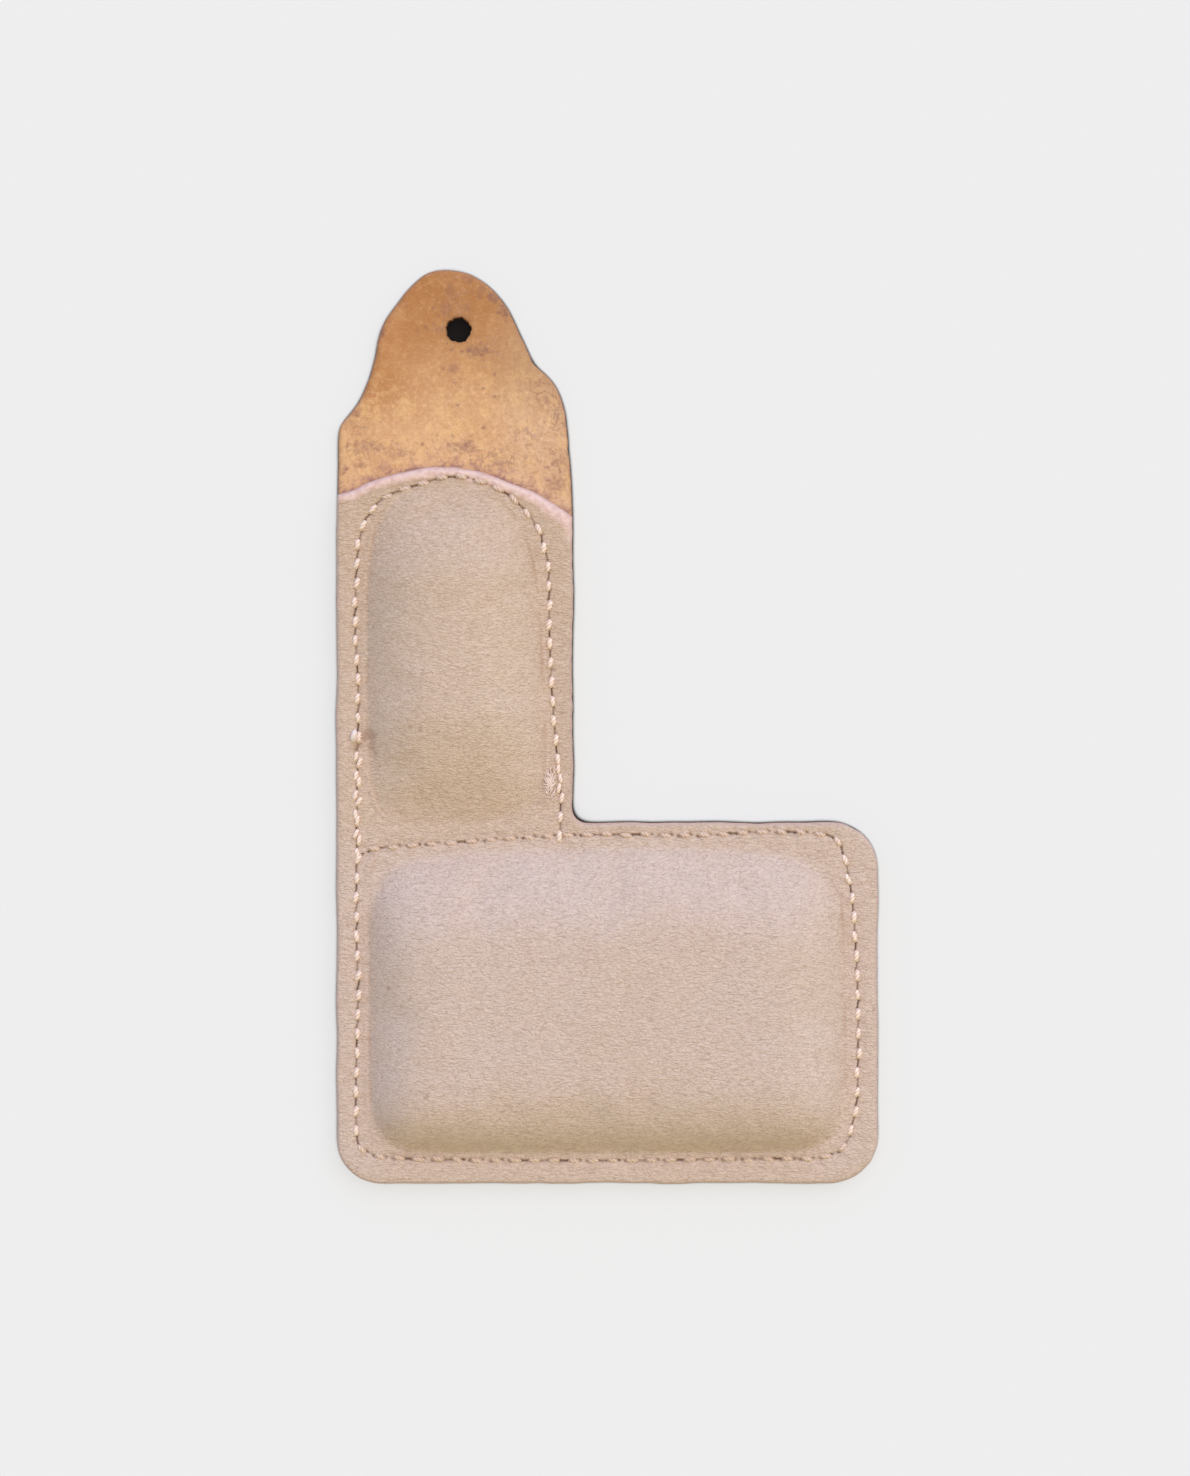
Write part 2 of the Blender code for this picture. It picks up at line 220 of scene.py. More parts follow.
def through(points, closed=False, steps=24):
    """A dense smooth curve through the points, with tangents that allow for uneven spacing."""
    points = np.array(points, float)
    count = len(points)
    spans = count if closed else count - 1
    before, after = neighbours(points, closed)
    reach = np.linalg.norm(after - points, axis=1) + np.linalg.norm(points - before, axis=1)
    tangents = (after - before) / reach[:, None]
    curve = []
    for i in range(spans):
        k = (i + 1) % count
        chord = np.linalg.norm(points[k] - points[i])
        for step in range(steps):
            t = step / steps
            curve.append(
                points[i] * (2 * t**3 - 3 * t**2 + 1)
                + tangents[i] * chord * (t**3 - 2 * t**2 + t)
                + points[k] * (3 * t**2 - 2 * t**3)
                + tangents[k] * chord * (t**3 - t**2)
            )
    if not closed:
        curve.append(points[-1])
    return np.array(curve)


def arc(x, y, radius, start, end):
    """Points along an arc round (x, y), from one angle to the other in degrees."""
    return (x, y) + radius * ways(np.radians(np.linspace(start, end, 25)))


class Path:
    """A curve in the plan, sampled evenly, that can say where other points lie along it and across it."""

    def __init__(self, curve, closed=False, step=PATH_STEP):
        curve = np.asarray(curve, float)
        if closed:
            curve = np.vstack((curve, curve[:1]))
        run = runs(curve)
        self.length = run[-1]
        self.step = self.length / max(2, round(self.length / step))
        self.at = np.arange(round(self.length / self.step) + (0 if closed else 1)) * self.step
        self.points = np.column_stack([np.interp(self.at, run, curve[:, k]) for k in (0, 1)])
        before, after = neighbours(self.points, closed)
        self.along = unit(after - before)
        self.left = leftward(self.along)
        self.closed = closed
        self.tree = tree_of(self.points)

    def locate(self, places):
        """For each place: how far along the path it is, how far to its left, and the nearest sample."""
        near = np.array([self.tree.find((x, y, 0.0))[1] for x, y in places])
        gap = places - self.points[near]
        forward = np.einsum("ij,ij->i", gap, self.along[near])
        side = np.einsum("ij,ij->i", gap, self.left[near])
        past = np.maximum(0.0, np.abs(forward) - self.step)
        return self.at[near] + forward, np.copysign(np.hypot(side, past), side), near

    def side(self, places):
        """How far each place lies to the path's left."""
        return self.locate(places)[1]

    def row(self, offset, spacing):
        """Points that run beside the path, offset to its left."""
        stride = max(1, round(spacing / self.step))
        return self.points[::stride] + self.left[::stride] * offset

    def rows(self, offsets, spacing, apart):
        """Such rows, each with how far its points keep from those that are there before."""
        return [(self.row(offset, spacing), apart) for offset in offsets]

    def at_run(self, run):
        """The point and the direction at each run along the path."""
        index = np.clip(np.round(np.asarray(run) / self.step).astype(int), 0, len(self.points) - 1)
        return self.points[index], self.along[index]


def plan_outline(top_edge):
    """The L anticlockwise, from its upper edge down the left side and round the palm."""
    r = CORNER_RADII
    line = np.vstack((
        through(from_tip(top_edge)),
        arc(LEFT + r["heel_left"], HEEL + r["heel_left"], r["heel_left"], 180, 270),
        arc(RIGHT - r["heel_right"], HEEL + r["heel_right"], r["heel_right"], 270, 360),
        arc(RIGHT - r["top_right"], PALM_TOP - r["top_right"], r["top_right"], 0, 90),
        arc(ARM_RIGHT + r["inner"], PALM_TOP + r["inner"], r["inner"], 270, 180),
    ))
    line = Path(line, closed=True, step=0.5)
    hand_cut = 0.09 * ripple(line.points, 11.0, 41) + 0.04 * ripple(line.points, 3.0, 42)
    return line.points + line.left * (0.12 + hand_cut)[:, None]


def either_side(*offsets):
    return [side * offset for offset in offsets for side in (1.0, -1.0)]


def spaced(rim, groups):
    """The groups' points, without those nearer to the rim or to an earlier group than their own spacing."""
    kept = rim
    for points, spacing in groups:
        tree = tree_of(kept)
        far = np.array([tree.find((x, y, 0.0))[2] >= spacing for x, y in points], bool)
        kept = np.vstack((kept, points[far]))
    return kept[len(rim):]


def lattice(rim, step, margin):
    """A triangular lattice over the inside of a closed path, kept clear of it by margin."""
    low, high = rim.points.min(axis=0), rim.points.max(axis=0)
    rows = []
    for k, y in enumerate(np.arange(low[1], high[1], step * math.sqrt(3) / 2)):
        x = np.arange(low[0] + (k % 2) * step / 2, high[0], step)
        rows.append(np.column_stack((x, np.full(len(x), y))))
    points = np.vstack(rows)
    return points[rim.side(points) > margin]


def within(places, loop):
    """Which places lie inside a closed loop of points."""
    after = np.roll(loop, -1, axis=0)
    crossings = np.zeros(len(places), int)
    for (ax, ay), (bx, by) in zip(loop, after):
        if ay == by:
            continue
        spans = (places[:, 1] < ay) != (places[:, 1] < by)
        crossings += spans & (places[:, 0] < ax + (places[:, 1] - ay) * (bx - ax) / (by - ay))
    return crossings % 2 == 1


def fill_region(rims, inside):
    """Triangles over the area inside the first rim and outside the others.

    Returns the plan points, the triangles, and the points' numbers along each rim.
    """
    points = np.vstack([*rims, inside])
    rings = []
    first = 0
    for rim in rims:
        rings.append(range(first, first + len(rim)))
        first += len(rim)
    edges = [edge for ring in rings for edge in zip(ring, [*ring[1:], ring[0]])]
    vectors = [Vector(p) for p in points]
    made, _, faces, origins, *_ = delaunay_2d_cdt(vectors, edges, [list(rings[0])], 1, 1e-6)
    plan = np.array([(p.x, p.y) for p in made])
    faces = np.array(faces)
    for hole in rims[1:]:
        faces = faces[~within(plan[faces].mean(axis=1), hole)]
    a, b, c = (plan[faces[:, k]] for k in (0, 1, 2))
    turn = (b[:, 0] - a[:, 0]) * (c[:, 1] - a[:, 1]) - (b[:, 1] - a[:, 1]) * (c[:, 0] - a[:, 0])
    faces[turn < 0] = faces[turn < 0][:, ::-1]
    number = {old: new for new, olds in enumerate(origins) for old in olds}
    used = np.unique(faces)
    place = np.full(len(plan), -1)
    place[used] = np.arange(len(used))
    return plan[used], place[faces], [np.array([place[number[i]] for i in ring]) for ring in rings]


def make_mesh(name, corners, faces, materials, face_materials, attributes):
    """An object of the given corners, in millimetres, with its place at rest kept as an attribute."""
    mesh = bpy.data.meshes.new(name)
    mesh.from_pydata((corners * MM).tolist(), [], faces)
    for finish in materials:
        mesh.materials.append(finish)
    mesh.polygons.foreach_set("material_index", np.asarray(face_materials, np.int32))
    mesh.shade_smooth()
    mesh.set_sharp_from_angle(angle=math.radians(60.0))
    rest = mesh.attributes.new("rest", "FLOAT_VECTOR", "POINT")
    rest.data.foreach_set("vector", corners.astype(np.float32).ravel())
    for label, values in attributes.items():
        layer = mesh.attributes.new(label, "FLOAT", "POINT")
        layer.data.foreach_set("value", np.asarray(values, np.float32))
    mesh.update()
    return link(name, mesh)


def leather_piece(name, rims, top_inside, under_inside, top_level, under_level, wall, materials, marks):
    """A closed piece of leather: a top and an underside over the same rims, joined by rounded walls.

    wall lists (outset, share of the way down) for the rings of the wall. marks gives the attributes of
    the corners.
    """
    top_plan, top_faces, top_rims = fill_region(rims, top_inside)
    under_plan, under_faces, under_rims = fill_region(rims, under_inside)
    top_z, under_z = top_level(top_plan), under_level(under_plan)
    corners = [np.column_stack((top_plan, top_z)), np.column_stack((under_plan, under_z))]
    under_first = len(top_plan)
    faces = top_faces.tolist() + (under_faces[:, ::-1] + under_first).tolist()
    face_materials = [0] * len(top_faces) + [1] * len(under_faces)
    next_corner = under_first + len(under_plan)
    for rim, on_top, below in zip(rims, top_rims, under_rims):
        before, after = neighbours(rim, True)
        outward = -leftward(unit(after - before))
        rings = [on_top]
        for outset, share in wall:
            level = top_z[on_top] * (1 - share) + under_z[below] * share
            corners.append(np.column_stack((rim + outward * outset, level)))
            rings.append(np.arange(len(rim)) + next_corner)
            next_corner += len(rim)
        rings.append(below + under_first)
        for upper, lower in zip(rings, rings[1:]):
            turned_upper, turned_lower = np.roll(upper, -1), np.roll(lower, -1)
            quads = np.column_stack((upper, lower, turned_lower, turned_upper))
            faces += quads.tolist()
            face_materials += [2] * len(quads)
    corners = np.vstack(corners)
    return make_mesh(name, corners, faces, materials, face_materials, marks(corners))


# ---------------- shape of the cover

cover_rim = Path(plan_outline(COVER_EDGE), closed=True)
backing_rim = Path(plan_outline(TONGUE_EDGE), closed=True)
cover_edge = Path(through(from_tip(COVER_EDGE)))
finger_seam = Path(through(from_tip(FINGER_SEAM)))
palm_seam = Path(through(from_heel(PALM_SEAM), closed=True), closed=True)
SEAMS = {"finger": finger_seam, "palm": palm_seam}


def finger_share(places):
    """How much of its full height the finger's pad has: it thins towards the fold and towards the tip."""
    ramp = 0.12 + 0.88 * smooth(places[:, 1], TIP - 90.0, TIP - 68.0)
    return ramp * (1.0 - 0.68 * smooth(places[:, 1], TIP - 49.0, TIP - 33.0))


class Pad:
    """The height that one pad gives the cover: a stretched skin over a stuffed foot, steepest at the foot.

    Each of its reaches is (how far in the skin's shoulder goes, how full it is: 0 slack, 1 tight).
    ends_reach gives the lower end's and the upper end's. share scales the height from place to place.
    """

    STEP = 0.4
    MARGIN = 14.0
    FOOT_FILLET = 0.05

    def __init__(self, foot, rise, sides_reach, ends_reach, share=None):
        self.foot = Path(through(foot, closed=True), closed=True)
        self.share = share
        low, high = self.foot.points.min(axis=0), self.foot.points.max(axis=0)
        self.low = low - self.MARGIN
        self.counts = np.ceil((high + self.MARGIN - self.low) / self.STEP).astype(int)
        grid = self.grid()
        inside = self.foot.side(grid.reshape(-1, 2)).reshape(self.counts)
        stuffed = np.clip(inside / self.STEP + 0.5, 0.0, 1.0)
        upward = (grid[..., 1] - (low + high)[1] / 2) / ((high - low)[1] / 2)
        bottom_share = smooth(-upward, 0.35, 0.95)
        top_share = smooth(upward, 0.35, 0.95)
        skin = self.skin(stuffed, sides_reach) * (1 - top_share - bottom_share)
        for end_reach, end_share in zip(ends_reach, (bottom_share, top_share)):
            skin += self.skin(stuffed, end_reach) * end_share
        skin = (skin + np.sqrt(skin**2 + self.FOOT_FILLET**2)) / 2.0
        self.height = rise * skin
        self.settled = np.zeros(self.counts)

    def grid(self, every=1):
        """The plan places of the pad's samples, or of every so many of them."""
        x, y = (self.low[k] + np.arange(0, self.counts[k], every) * self.STEP for k in (0, 1))
        return np.stack(np.meshgrid(x, y, indexing="ij"), axis=-1)

    def filtered(self, values, response):
        """The values, with each of their waves scaled by a response to its squared rate."""
        x, y = (math.tau * np.fft.fftfreq(n, self.STEP) for n in self.counts)
        return np.real(np.fft.ifft2(np.fft.fft2(values) * response(x[:, None] ** 2 + y[None, :] ** 2)))

    def skin(self, stuffed, shoulder):
        """The share of its rise that the skin gets: 1 well inside, 0 at the foot, less outside."""
        reach, fullness = shoulder
        slack = 2.0 - 2.0 * self.filtered(stuffed, lambda rate: 1.0 / (1.0 + reach**2 * rate))
        return (1.0 - slack) / (1.0 + fullness * slack)

    def start_level(self, places):
        """How far the pad lifts the cover before the cloth pass."""
        return self.read(self.height, places) * (self.share(places) if self.share else 1.0)

    def level(self, places):
        return self.start_level(places) + self.read(self.settled, places)

    def read(self, grid, places):
        """The grid's value at each place of the plan, and 0 beyond the grid."""
        spot = np.clip((places - self.low) / self.STEP, 0.0, self.counts - 1.001)
        cell = spot.astype(int)
        share = spot - cell
        i, j = cell[:, 0], cell[:, 1]
        near = grid[i, j] * (1 - share[:, 0]) + grid[i + 1, j] * share[:, 0]
        far = grid[i, j + 1] * (1 - share[:, 0]) + grid[i + 1, j + 1] * share[:, 0]
        value = near * (1 - share[:, 1]) + far * share[:, 1]
        outside = np.any((places < self.low) | (places > self.low + (self.counts - 1) * self.STEP), axis=1)
        return np.where(outside, 0.0, value)


PADS = {
    "palm": Pad(from_heel(PALM_FOOT), PALM_RISE, (2.5, 1.0), ((2.0, 1.0), (6.2, 0.0))),
    "finger": Pad(from_tip(FINGER_FOOT), FINGER_RISE, (2.6, 1.0), ((2.6, 1.0), (2.8, 0.8)), finger_share),
}


# The cloth pass: run at ten times the part's size, with a corner at every fourth sample of a pad, held at
# the foot and free from so far inside it. It never moves the cover by more than the cap.
CLOTH_SCALE = 0.01
CLOTH_FRAMES = 20
CLOTH_EVERY = 4
CLOTH_CAP = 0.55
CLOTH_HELD = 2.2
CLOTH_BLUR = 0.62
CLOTH_SETTINGS = {
    "quality": 6, "mass": 0.25, "tension_stiffness": 25.0, "compression_stiffness": 25.0,
    "shear_stiffness": 12.0, "bending_stiffness": 1.5, "vertex_group_mass": "held", "pin_stiffness": 1.0,
    "use_pressure": True, "uniform_pressure_force": 1.0, "shrink_min": -0.012,
}


def settle(pad):
    """Runs the cover over one pad as cloth, pressed up by its filler, and keeps how far it moved."""
    grid = pad.grid(CLOTH_EVERY)
    rows, columns = grid.shape[:2]
    places = grid.reshape(-1, 2)
    start = pad.start_level(places)
    corners = np.column_stack((places, start)) * CLOTH_SCALE
    number = np.arange(len(corners)).reshape(rows, columns)
    faces = np.stack((number[:-1, :-1], number[1:, :-1], number[1:, 1:], number[:-1, 1:]), axis=-1)
    mesh = bpy.data.meshes.new("cloth_pass")
    mesh.from_pydata(corners.tolist(), [], faces.reshape(-1, 4).tolist())
    sheet = link("cloth_pass", mesh)
    held = sheet.vertex_groups.new(name="held")
    for i, gap in enumerate(pad.foot.side(places)):
        held.add([i], float(1.0 - smooth(gap, 0.0, CLOTH_HELD)), "REPLACE")
    cloth = sheet.modifiers.new("cloth", "CLOTH")
    for name, value in CLOTH_SETTINGS.items():
        setattr(cloth.settings, name, value)
    cloth.settings.effector_weights.gravity = 0.0
    cloth.collision_settings.use_collision = False
    cloth.point_cache.frame_start = 1
    cloth.point_cache.frame_end = CLOTH_FRAMES
    for step in range(1, CLOTH_FRAMES + 1):
        bpy.context.scene.frame_set(step)
    posed = sheet.evaluated_get(bpy.context.evaluated_depsgraph_get()).data
    moved = np.empty(len(corners) * 3)
    posed.vertices.foreach_get("co", moved)
    bpy.context.scene.frame_set(1)
    bpy.data.objects.remove(sheet)
    bpy.data.meshes.remove(mesh)
    lift = moved.reshape(-1, 3)[:, 2] / CLOTH_SCALE - start
    lift = CLOTH_CAP * np.tanh(lift / CLOTH_CAP)
    sparse = np.zeros(pad.counts)
    sparse[::CLOTH_EVERY, ::CLOTH_EVERY] = lift.reshape(rows, columns) * CLOTH_EVERY**2
    blur = CLOTH_BLUR * CLOTH_EVERY * pad.STEP
    pad.settled = pad.filtered(sparse, lambda rate: np.exp(-(blur**2) * rate / 2.0))
    return float(np.abs(lift).max())


def pad_levels(places):
    """How far the two pads lift the cover at each place."""
    return sum(pad.level(places) for pad in PADS.values())


def stitch_pitch(path):
    return path.length / round(path.length / PITCH)


def seam_marks(path, places):
    """What one seam does to the cover: how far it draws it in, its slits, its holes and its puckers."""
    run, side, near = path.locate(places)
    turns = run / stitch_pitch(path)
    number = np.floor(turns)
    past_middle = (turns - number - 0.5) * PITCH
    from_middle = np.abs(past_middle)
    upright = path.along[near][:, 1] ** 2
    chance = np.sin(number * 12.9898 + path.length) * 43758.5453
    chance -= np.floor(chance)
    lean = (0.32 * chance - 0.25) * past_middle + 0.16 * (chance - 0.5) * (past_middle**2 - 0.3)
    across = side - lean
    long_slit = 1.0 - smooth(from_middle, 0.62, 0.86)
    short_slits = smooth(from_middle, 0.1, 0.38) * (1.0 - smooth(from_middle, 0.66, 0.84))
    whole = np.maximum(upright, smooth(chance, 0.45, 0.6))
    along = long_slit * whole + short_slits * (1.0 - whole) * (0.6 + 0.4 * chance)
    slit = bell(across, 0.18 - 0.06 * upright) * along
    slit *= 0.75 + 0.25 * np.sin(number * 2.3)
    hole = bell(across, 0.26) * bell(from_middle - 0.72, 0.26)
    drawn = 0.10 * bell(side, 0.55) + 0.10 * bell(side, 1.6)
    beside = bell(np.abs(side) - 0.7, 0.42)
    pucker = np.cos(math.tau * turns) * beside * (0.055 + 0.045 * (1.0 - upright))
    return drawn, slit, hole, pucker


def cover_fields(places):
    """What shapes and tints the cover at each place."""
    drawn, slit, hole, pucker, crease, ridge = np.zeros((6, len(places)))
    for path in SEAMS.values():
        here = seam_marks(path, places)
        drawn, slit, hole = (np.maximum(*pair) for pair in zip((drawn, slit, hole), here))
        pucker += here[3]
    broken = 0.6 + 0.4 * ripple(places, 12.0, 5)
    for pad in PADS.values():
        _, side, near = pad.foot.locate(places)
        outward = -pad.foot.left[near]
        share = 0.8 * smooth(-outward[:, 0], 0.3, 0.9) + 0.75 * smooth(outward[:, 0], 0.5, 0.95)
        share += 0.45 * smooth(-outward[:, 1], 0.5, 0.95)
        share *= broken
        crease = np.maximum(crease, share * (bell(side + 0.15, 0.26) + 0.5 * bell(side + 1.05, 0.22)))
        ridge = np.maximum(ridge, share * bell(side + 0.62, 0.34))
    return {
        "rim_gap": cover_rim.side(places), "across": np.abs(cover_edge.side(places)) / band_width(places),
        "drawn": drawn, "slit": slit, "hole": hole, "pucker": pucker, "crease": crease, "ridge": ridge,
    }


def band_width(places):
    """How wide the skived edge shows: uneven, and wider towards its right end."""
    right = smooth(places[:, 0], ARM_RIGHT - 9.0, ARM_RIGHT - 1.0)
    uneven = 0.14 * ripple(places, 4.0, 11) + 0.08 * ripple(places, 1.5, 12)
    return SKIVE_WIDTH * (1.0 + uneven + 0.35 * right)


def rolled(gap):
    """How far the rounded rim has dropped at places that far in from its edge."""
    fall = np.clip(1.0 - gap / RIM_ROUND, 0.0, 1.0)
    return RIM_ROUND * (1.0 - np.sqrt(1.0 - fall**2))


def cover_top(places):
    """The level of the cover's upper face, which thins to its cut edge on the tongue."""
    field = cover_fields(places)
    level = FLANGE_TOP + 0.05 * ripple(places, 14.0, 2) * smooth(field["rim_gap"], 0.0, 4.0)
    level += 0.10 * smooth(field["rim_gap"], 0.3, 1.6) - rolled(field["rim_gap"])
    level += field["pucker"] - field["drawn"] - 0.34 * field["slit"] - 0.14 * field["hole"]
    level -= 0.15 * field["crease"] - 0.10 * field["ridge"]
    level += pad_levels(places)
    across = field["across"]
    skived = np.sqrt(1.0 - (1.0 - np.clip(across / 0.6, 0.0, 1.0)) ** 2)
    thin = COVER_UNDER + SKIVED_THICKNESS
    lip = 0.12 * bell(across - 0.62, 0.3) - 0.09 * bell(across - 1.2, 0.2)
    return thin + (level - thin + lip) * skived


def cover_under(places):
    """The level of the cover's lower face, which lies on the backing and on the felts."""
    return np.maximum(COVER_UNDER, FLANGE_TOP + pad_levels(places) - COVER_THICKNESS)


# Stains on the cover, from the left side and the tip: (x, y, half width, half height, strength).
COVER_STAINS = [
    (4.9, 72.4, 1.2, 0.9, 0.8), (5.6, 74.0, 0.6, 1.2, 0.6), (3.0, 74.4, 0.5, 0.7, 0.9),
    (31.4, 82.8, 1.6, 0.3, 0.35), (31.2, 80.4, 0.9, 0.5, 0.3),
]


def blots(places, stains):
    """How strongly each place is stained: soft, ragged blots."""
    total = np.zeros(len(places))
    ragged = 1.0 + 0.35 * ripple(places, 1.1, 51) + 0.2 * ripple(places, 0.5, 52)
    for x, y, wide, high, strength in stains:
        gap = np.hypot((places[:, 0] - LEFT - x) / wide, (places[:, 1] - TIP + y) / high)
        total = np.maximum(total, strength * (1.0 - smooth(gap * ragged, 0.5, 1.25)))
    return total


def cover_marks(corners):
    places = corners[:, :2]
    field = cover_fields(places)
    across = field["across"]
    down_right = smooth(places[:, 0], ARM_RIGHT - 1.7, ARM_RIGHT - 0.6)
    down_right *= smooth(places[:, 1], TIP - 43.5, TIP - 41.0)
    return {
        "band": np.maximum(1.0 - smooth(across, 0.8, 1.15), 0.9 * down_right),
        "band_foot": bell(across - 1.15, 0.2),
        "slit": np.clip(field["slit"] + 0.35 * field["hole"], 0.0, 1.0),
        "crease": field["crease"],
        "rim": 1.0 - smooth(field["rim_gap"], 0.0, 0.5),
        "stain": blots(places, COVER_STAINS),
    }


def build_cover(materials):
    rim = cover_rim.row(0.0, 0.4)
    groups = []
    for offset, spacing in ((0.1, 0.4), (0.24, 0.4), (0.46, 0.45), (0.85, 0.6)):
        groups += cover_rim.rows([offset], spacing, spacing * 0.2)
    for path in (palm_seam, finger_seam):
        groups += path.rows([0.0, *either_side(0.09, 0.19, 0.3)], 0.2, 0.075)
        groups += path.rows(either_side(0.46, 0.72, 1.05, 1.45), 0.35, 0.075)
    for pad in PADS.values():
        groups += pad.foot.rows([-1.3, -1.05, -0.8, -0.6, -0.4, -0.22, -0.06, 0.14, 0.4, 0.75], 0.4, 0.16)
    groups += cover_edge.rows(either_side(0.18, 0.36, 0.56, 0.78, 1.0, 1.22, 1.45, 1.7, 2.0), 0.3, 0.15)
    groups.append((lattice(cover_rim, COVER_STEP, 0.9), COVER_STEP * 0.55))
    inside = spaced(rim, groups)
    inside = inside[cover_rim.side(inside) > 0.07]
    under = lattice(cover_rim, 1.3, 0.7)
    wall = ((0.05, 0.2), (0.08, 0.5), (0.05, 0.8))
    return leather_piece(
        "cover_leather", [rim], inside, under, cover_top, cover_under, wall, materials, cover_marks
    )


# ---------------- backing

def cover_side(places):
    """How far each place lies beyond the cover's cut edge, on the bare tongue."""
    return -cover_edge.side(places)


def hole_gap(places):
    return np.linalg.norm(places - HOLE, axis=1) - HOLE_RADIUS


def near_seam(places, width):
    """1 on a seam, and 0 well beside it."""
    return np.maximum(*(bell(path.side(places), width) for path in SEAMS.values()))


def backing_top(places):
    """The front face: rolled at its rim, and a little worn, wavy and dished where it is bare."""
    bare = smooth(cover_side(places), 0.4, 1.6)
    dished = 0.05 * bell(hole_gap(places), 0.3)
    waves = 0.05 * ripple(places, 8.0, 21) + 0.03 * ripple(places, 2.4, 22)
    return BACKING_TOP - rolled(backing_rim.side(places)) - bare * (dished + 0.06 - waves)


def backing_under(places):
    """The back face: flat to rest on, rolled at its rim, and drawn in along the seam."""
    return rolled(backing_rim.side(places)) + 0.5 * near_seam(places, 0.55)


# Stains on the tongue, from its left side and the tip: (x, y, half width, half height, strength).
TONGUE_STAINS = [
    (24.6, 4.4, 1.4, 0.9, 0.75), (26.0, 6.4, 0.8, 1.2, 0.65), (22.4, 3.2, 0.9, 0.7, 0.45),
    (21.6, 12.8, 1.9, 1.0, 0.6), (18.0, 15.6, 0.75, 0.65, 0.6), (16.9, 6.6, 1.0, 1.1, 0.4),
    (17.6, 3.4, 0.6, 1.6, 0.35), (20.4, 1.6, 1.6, 0.6, 0.35), (6.9, 10.0, 0.7, 0.9, 0.7),
    (15.8, 9.4, 1.2, 0.7, 0.3), (4.0, 27.4, 2.4, 0.7, 0.45), (3.4, 30.6, 1.0, 0.6, 0.5),
    (1.2, 31.4, 0.5, 0.5, 0.6), (34.4, 33.6, 1.5, 1.2, 0.5), (2.6, 22.4, 1.2, 0.7, 0.4),
    (6.0, 28.0, 1.4, 0.6, 0.35), (13.2, 27.3, 0.35, 0.35, 0.5), (20.2, 27.4, 1.2, 0.8, 0.45),
]
# Scribbles of dark fibre on the tongue, in the same terms.
TONGUE_SCRIBBLES = [
    (32.0, 19.0, 2.0, 1.9, 0.9), (34.3, 23.4, 1.4, 3.0, 0.9), (29.0, 26.4, 3.4, 1.7, 0.8),
    (33.6, 30.0, 2.4, 2.6, 0.9), (19.4, 28.4, 3.6, 1.6, 0.8), (6.6, 28.6, 5.2, 1.7, 0.7),
    (25.0, 29.6, 4.4, 1.8, 0.7), (3.0, 24.4, 2.2, 1.6, 0.6), (19.0, 5.6, 3.2, 3.4, 0.45),
    (24.4, 12.0, 2.4, 3.0, 0.4),
]


def fading(gap, reach):
    return np.exp(-np.maximum(gap, 0.0) / reach)


def backing_marks(corners):
    places = corners[:, :2]
    beyond = cover_side(places)
    return {
        "glue": fading(beyond, 2.4),
        "fringe": fading(beyond, np.clip(0.55 + 0.25 * ripple(places, 2.5, 61), 0.25, 1.0)),
        "rim": fading(backing_rim.side(places), 0.35),
        "hole": fading(hole_gap(places), 0.25),
        "stain": blots(places, TONGUE_STAINS),
        "scribble": blots(places, TONGUE_SCRIBBLES),
        "drawn": near_seam(places, 0.5),
    }


def split_rim(upper):
    """The backing's rim on one side of the line at which its two pieces meet under the cover."""
    points = backing_rim.row(0.0, 0.4)
    keep = points[:, 1] > SPLIT if upper else points[:, 1] <= SPLIT
    points = points[keep]
    jump = int(np.argmax(np.linalg.norm(np.roll(points, -1, axis=0) - points, axis=1))) + 1
    points = np.roll(points, -jump, axis=0)
    across = np.linspace(points[-1][0], points[0][0], 64)
    return np.vstack((points, np.column_stack((across, np.full(64, SPLIT)))))


def build_backing(name, upper, materials):
    rim = split_rim(upper)
    path = Path(rim, closed=True, step=0.2)
    turns = np.linspace(0.0, math.tau, 72, endpoint=False)
    ragged = 0.07 * np.sin(turns * 5 + 1.0) + 0.05 * np.sin(turns * 11) + 0.03 * np.sin(turns * 19 + 2)
    circle = HOLE + (HOLE_RADIUS + ragged)[:, None] * ways(turns)
    rims = [rim, circle[::-1]] if upper else [rim]
    near_rim = backing_rim.rows((0.12, 0.26), 0.4, 0.12) + backing_rim.rows((0.5,), 0.45, 0.12)
    top = list(near_rim)
    under = list(near_rim)
    if upper:
        wider = [1.0 + gap / HOLE_RADIUS for gap in (0.15, 0.35, 0.6, 0.95)]
        rings = [(HOLE + (circle - HOLE) * scale, 0.1) for scale in wider]
        bare = lattice(path, 0.5, 0.3)
        top += [*rings, (bare[cover_side(bare) > -1.0], 0.3)]
        under += rings
    top.append((lattice(path, BACKING_STEP, 0.6), BACKING_STEP * 0.6))
    for seam in SEAMS.values():
        under += seam.rows([0.0, *either_side(0.25, 0.5, 0.85)], 0.5, 0.18)
    under.append((lattice(path, 1.2, 0.6), 0.7))
    inside = []
    for groups in (top, under):
        points = spaced(rim, groups)
        points = points[path.side(points) > 0.09]
        inside.append(points[hole_gap(points) > 0.1] if upper else points)
    wall = ((0.05, 0.12), (0.1, 0.35), (0.1, 0.65), (0.05, 0.88))
    return leather_piece(name, rims, *inside, backing_top, backing_under, wall, materials, backing_marks)


# ---------------- felts

# How far the felt keeps from the cover sideways and above, its lift off the backing, and its least height.
FELT_GAP = 0.25
FELT_CLEARANCE = 0.12
FELT_LIFT = 0.08
FELT_LEAST = 0.5


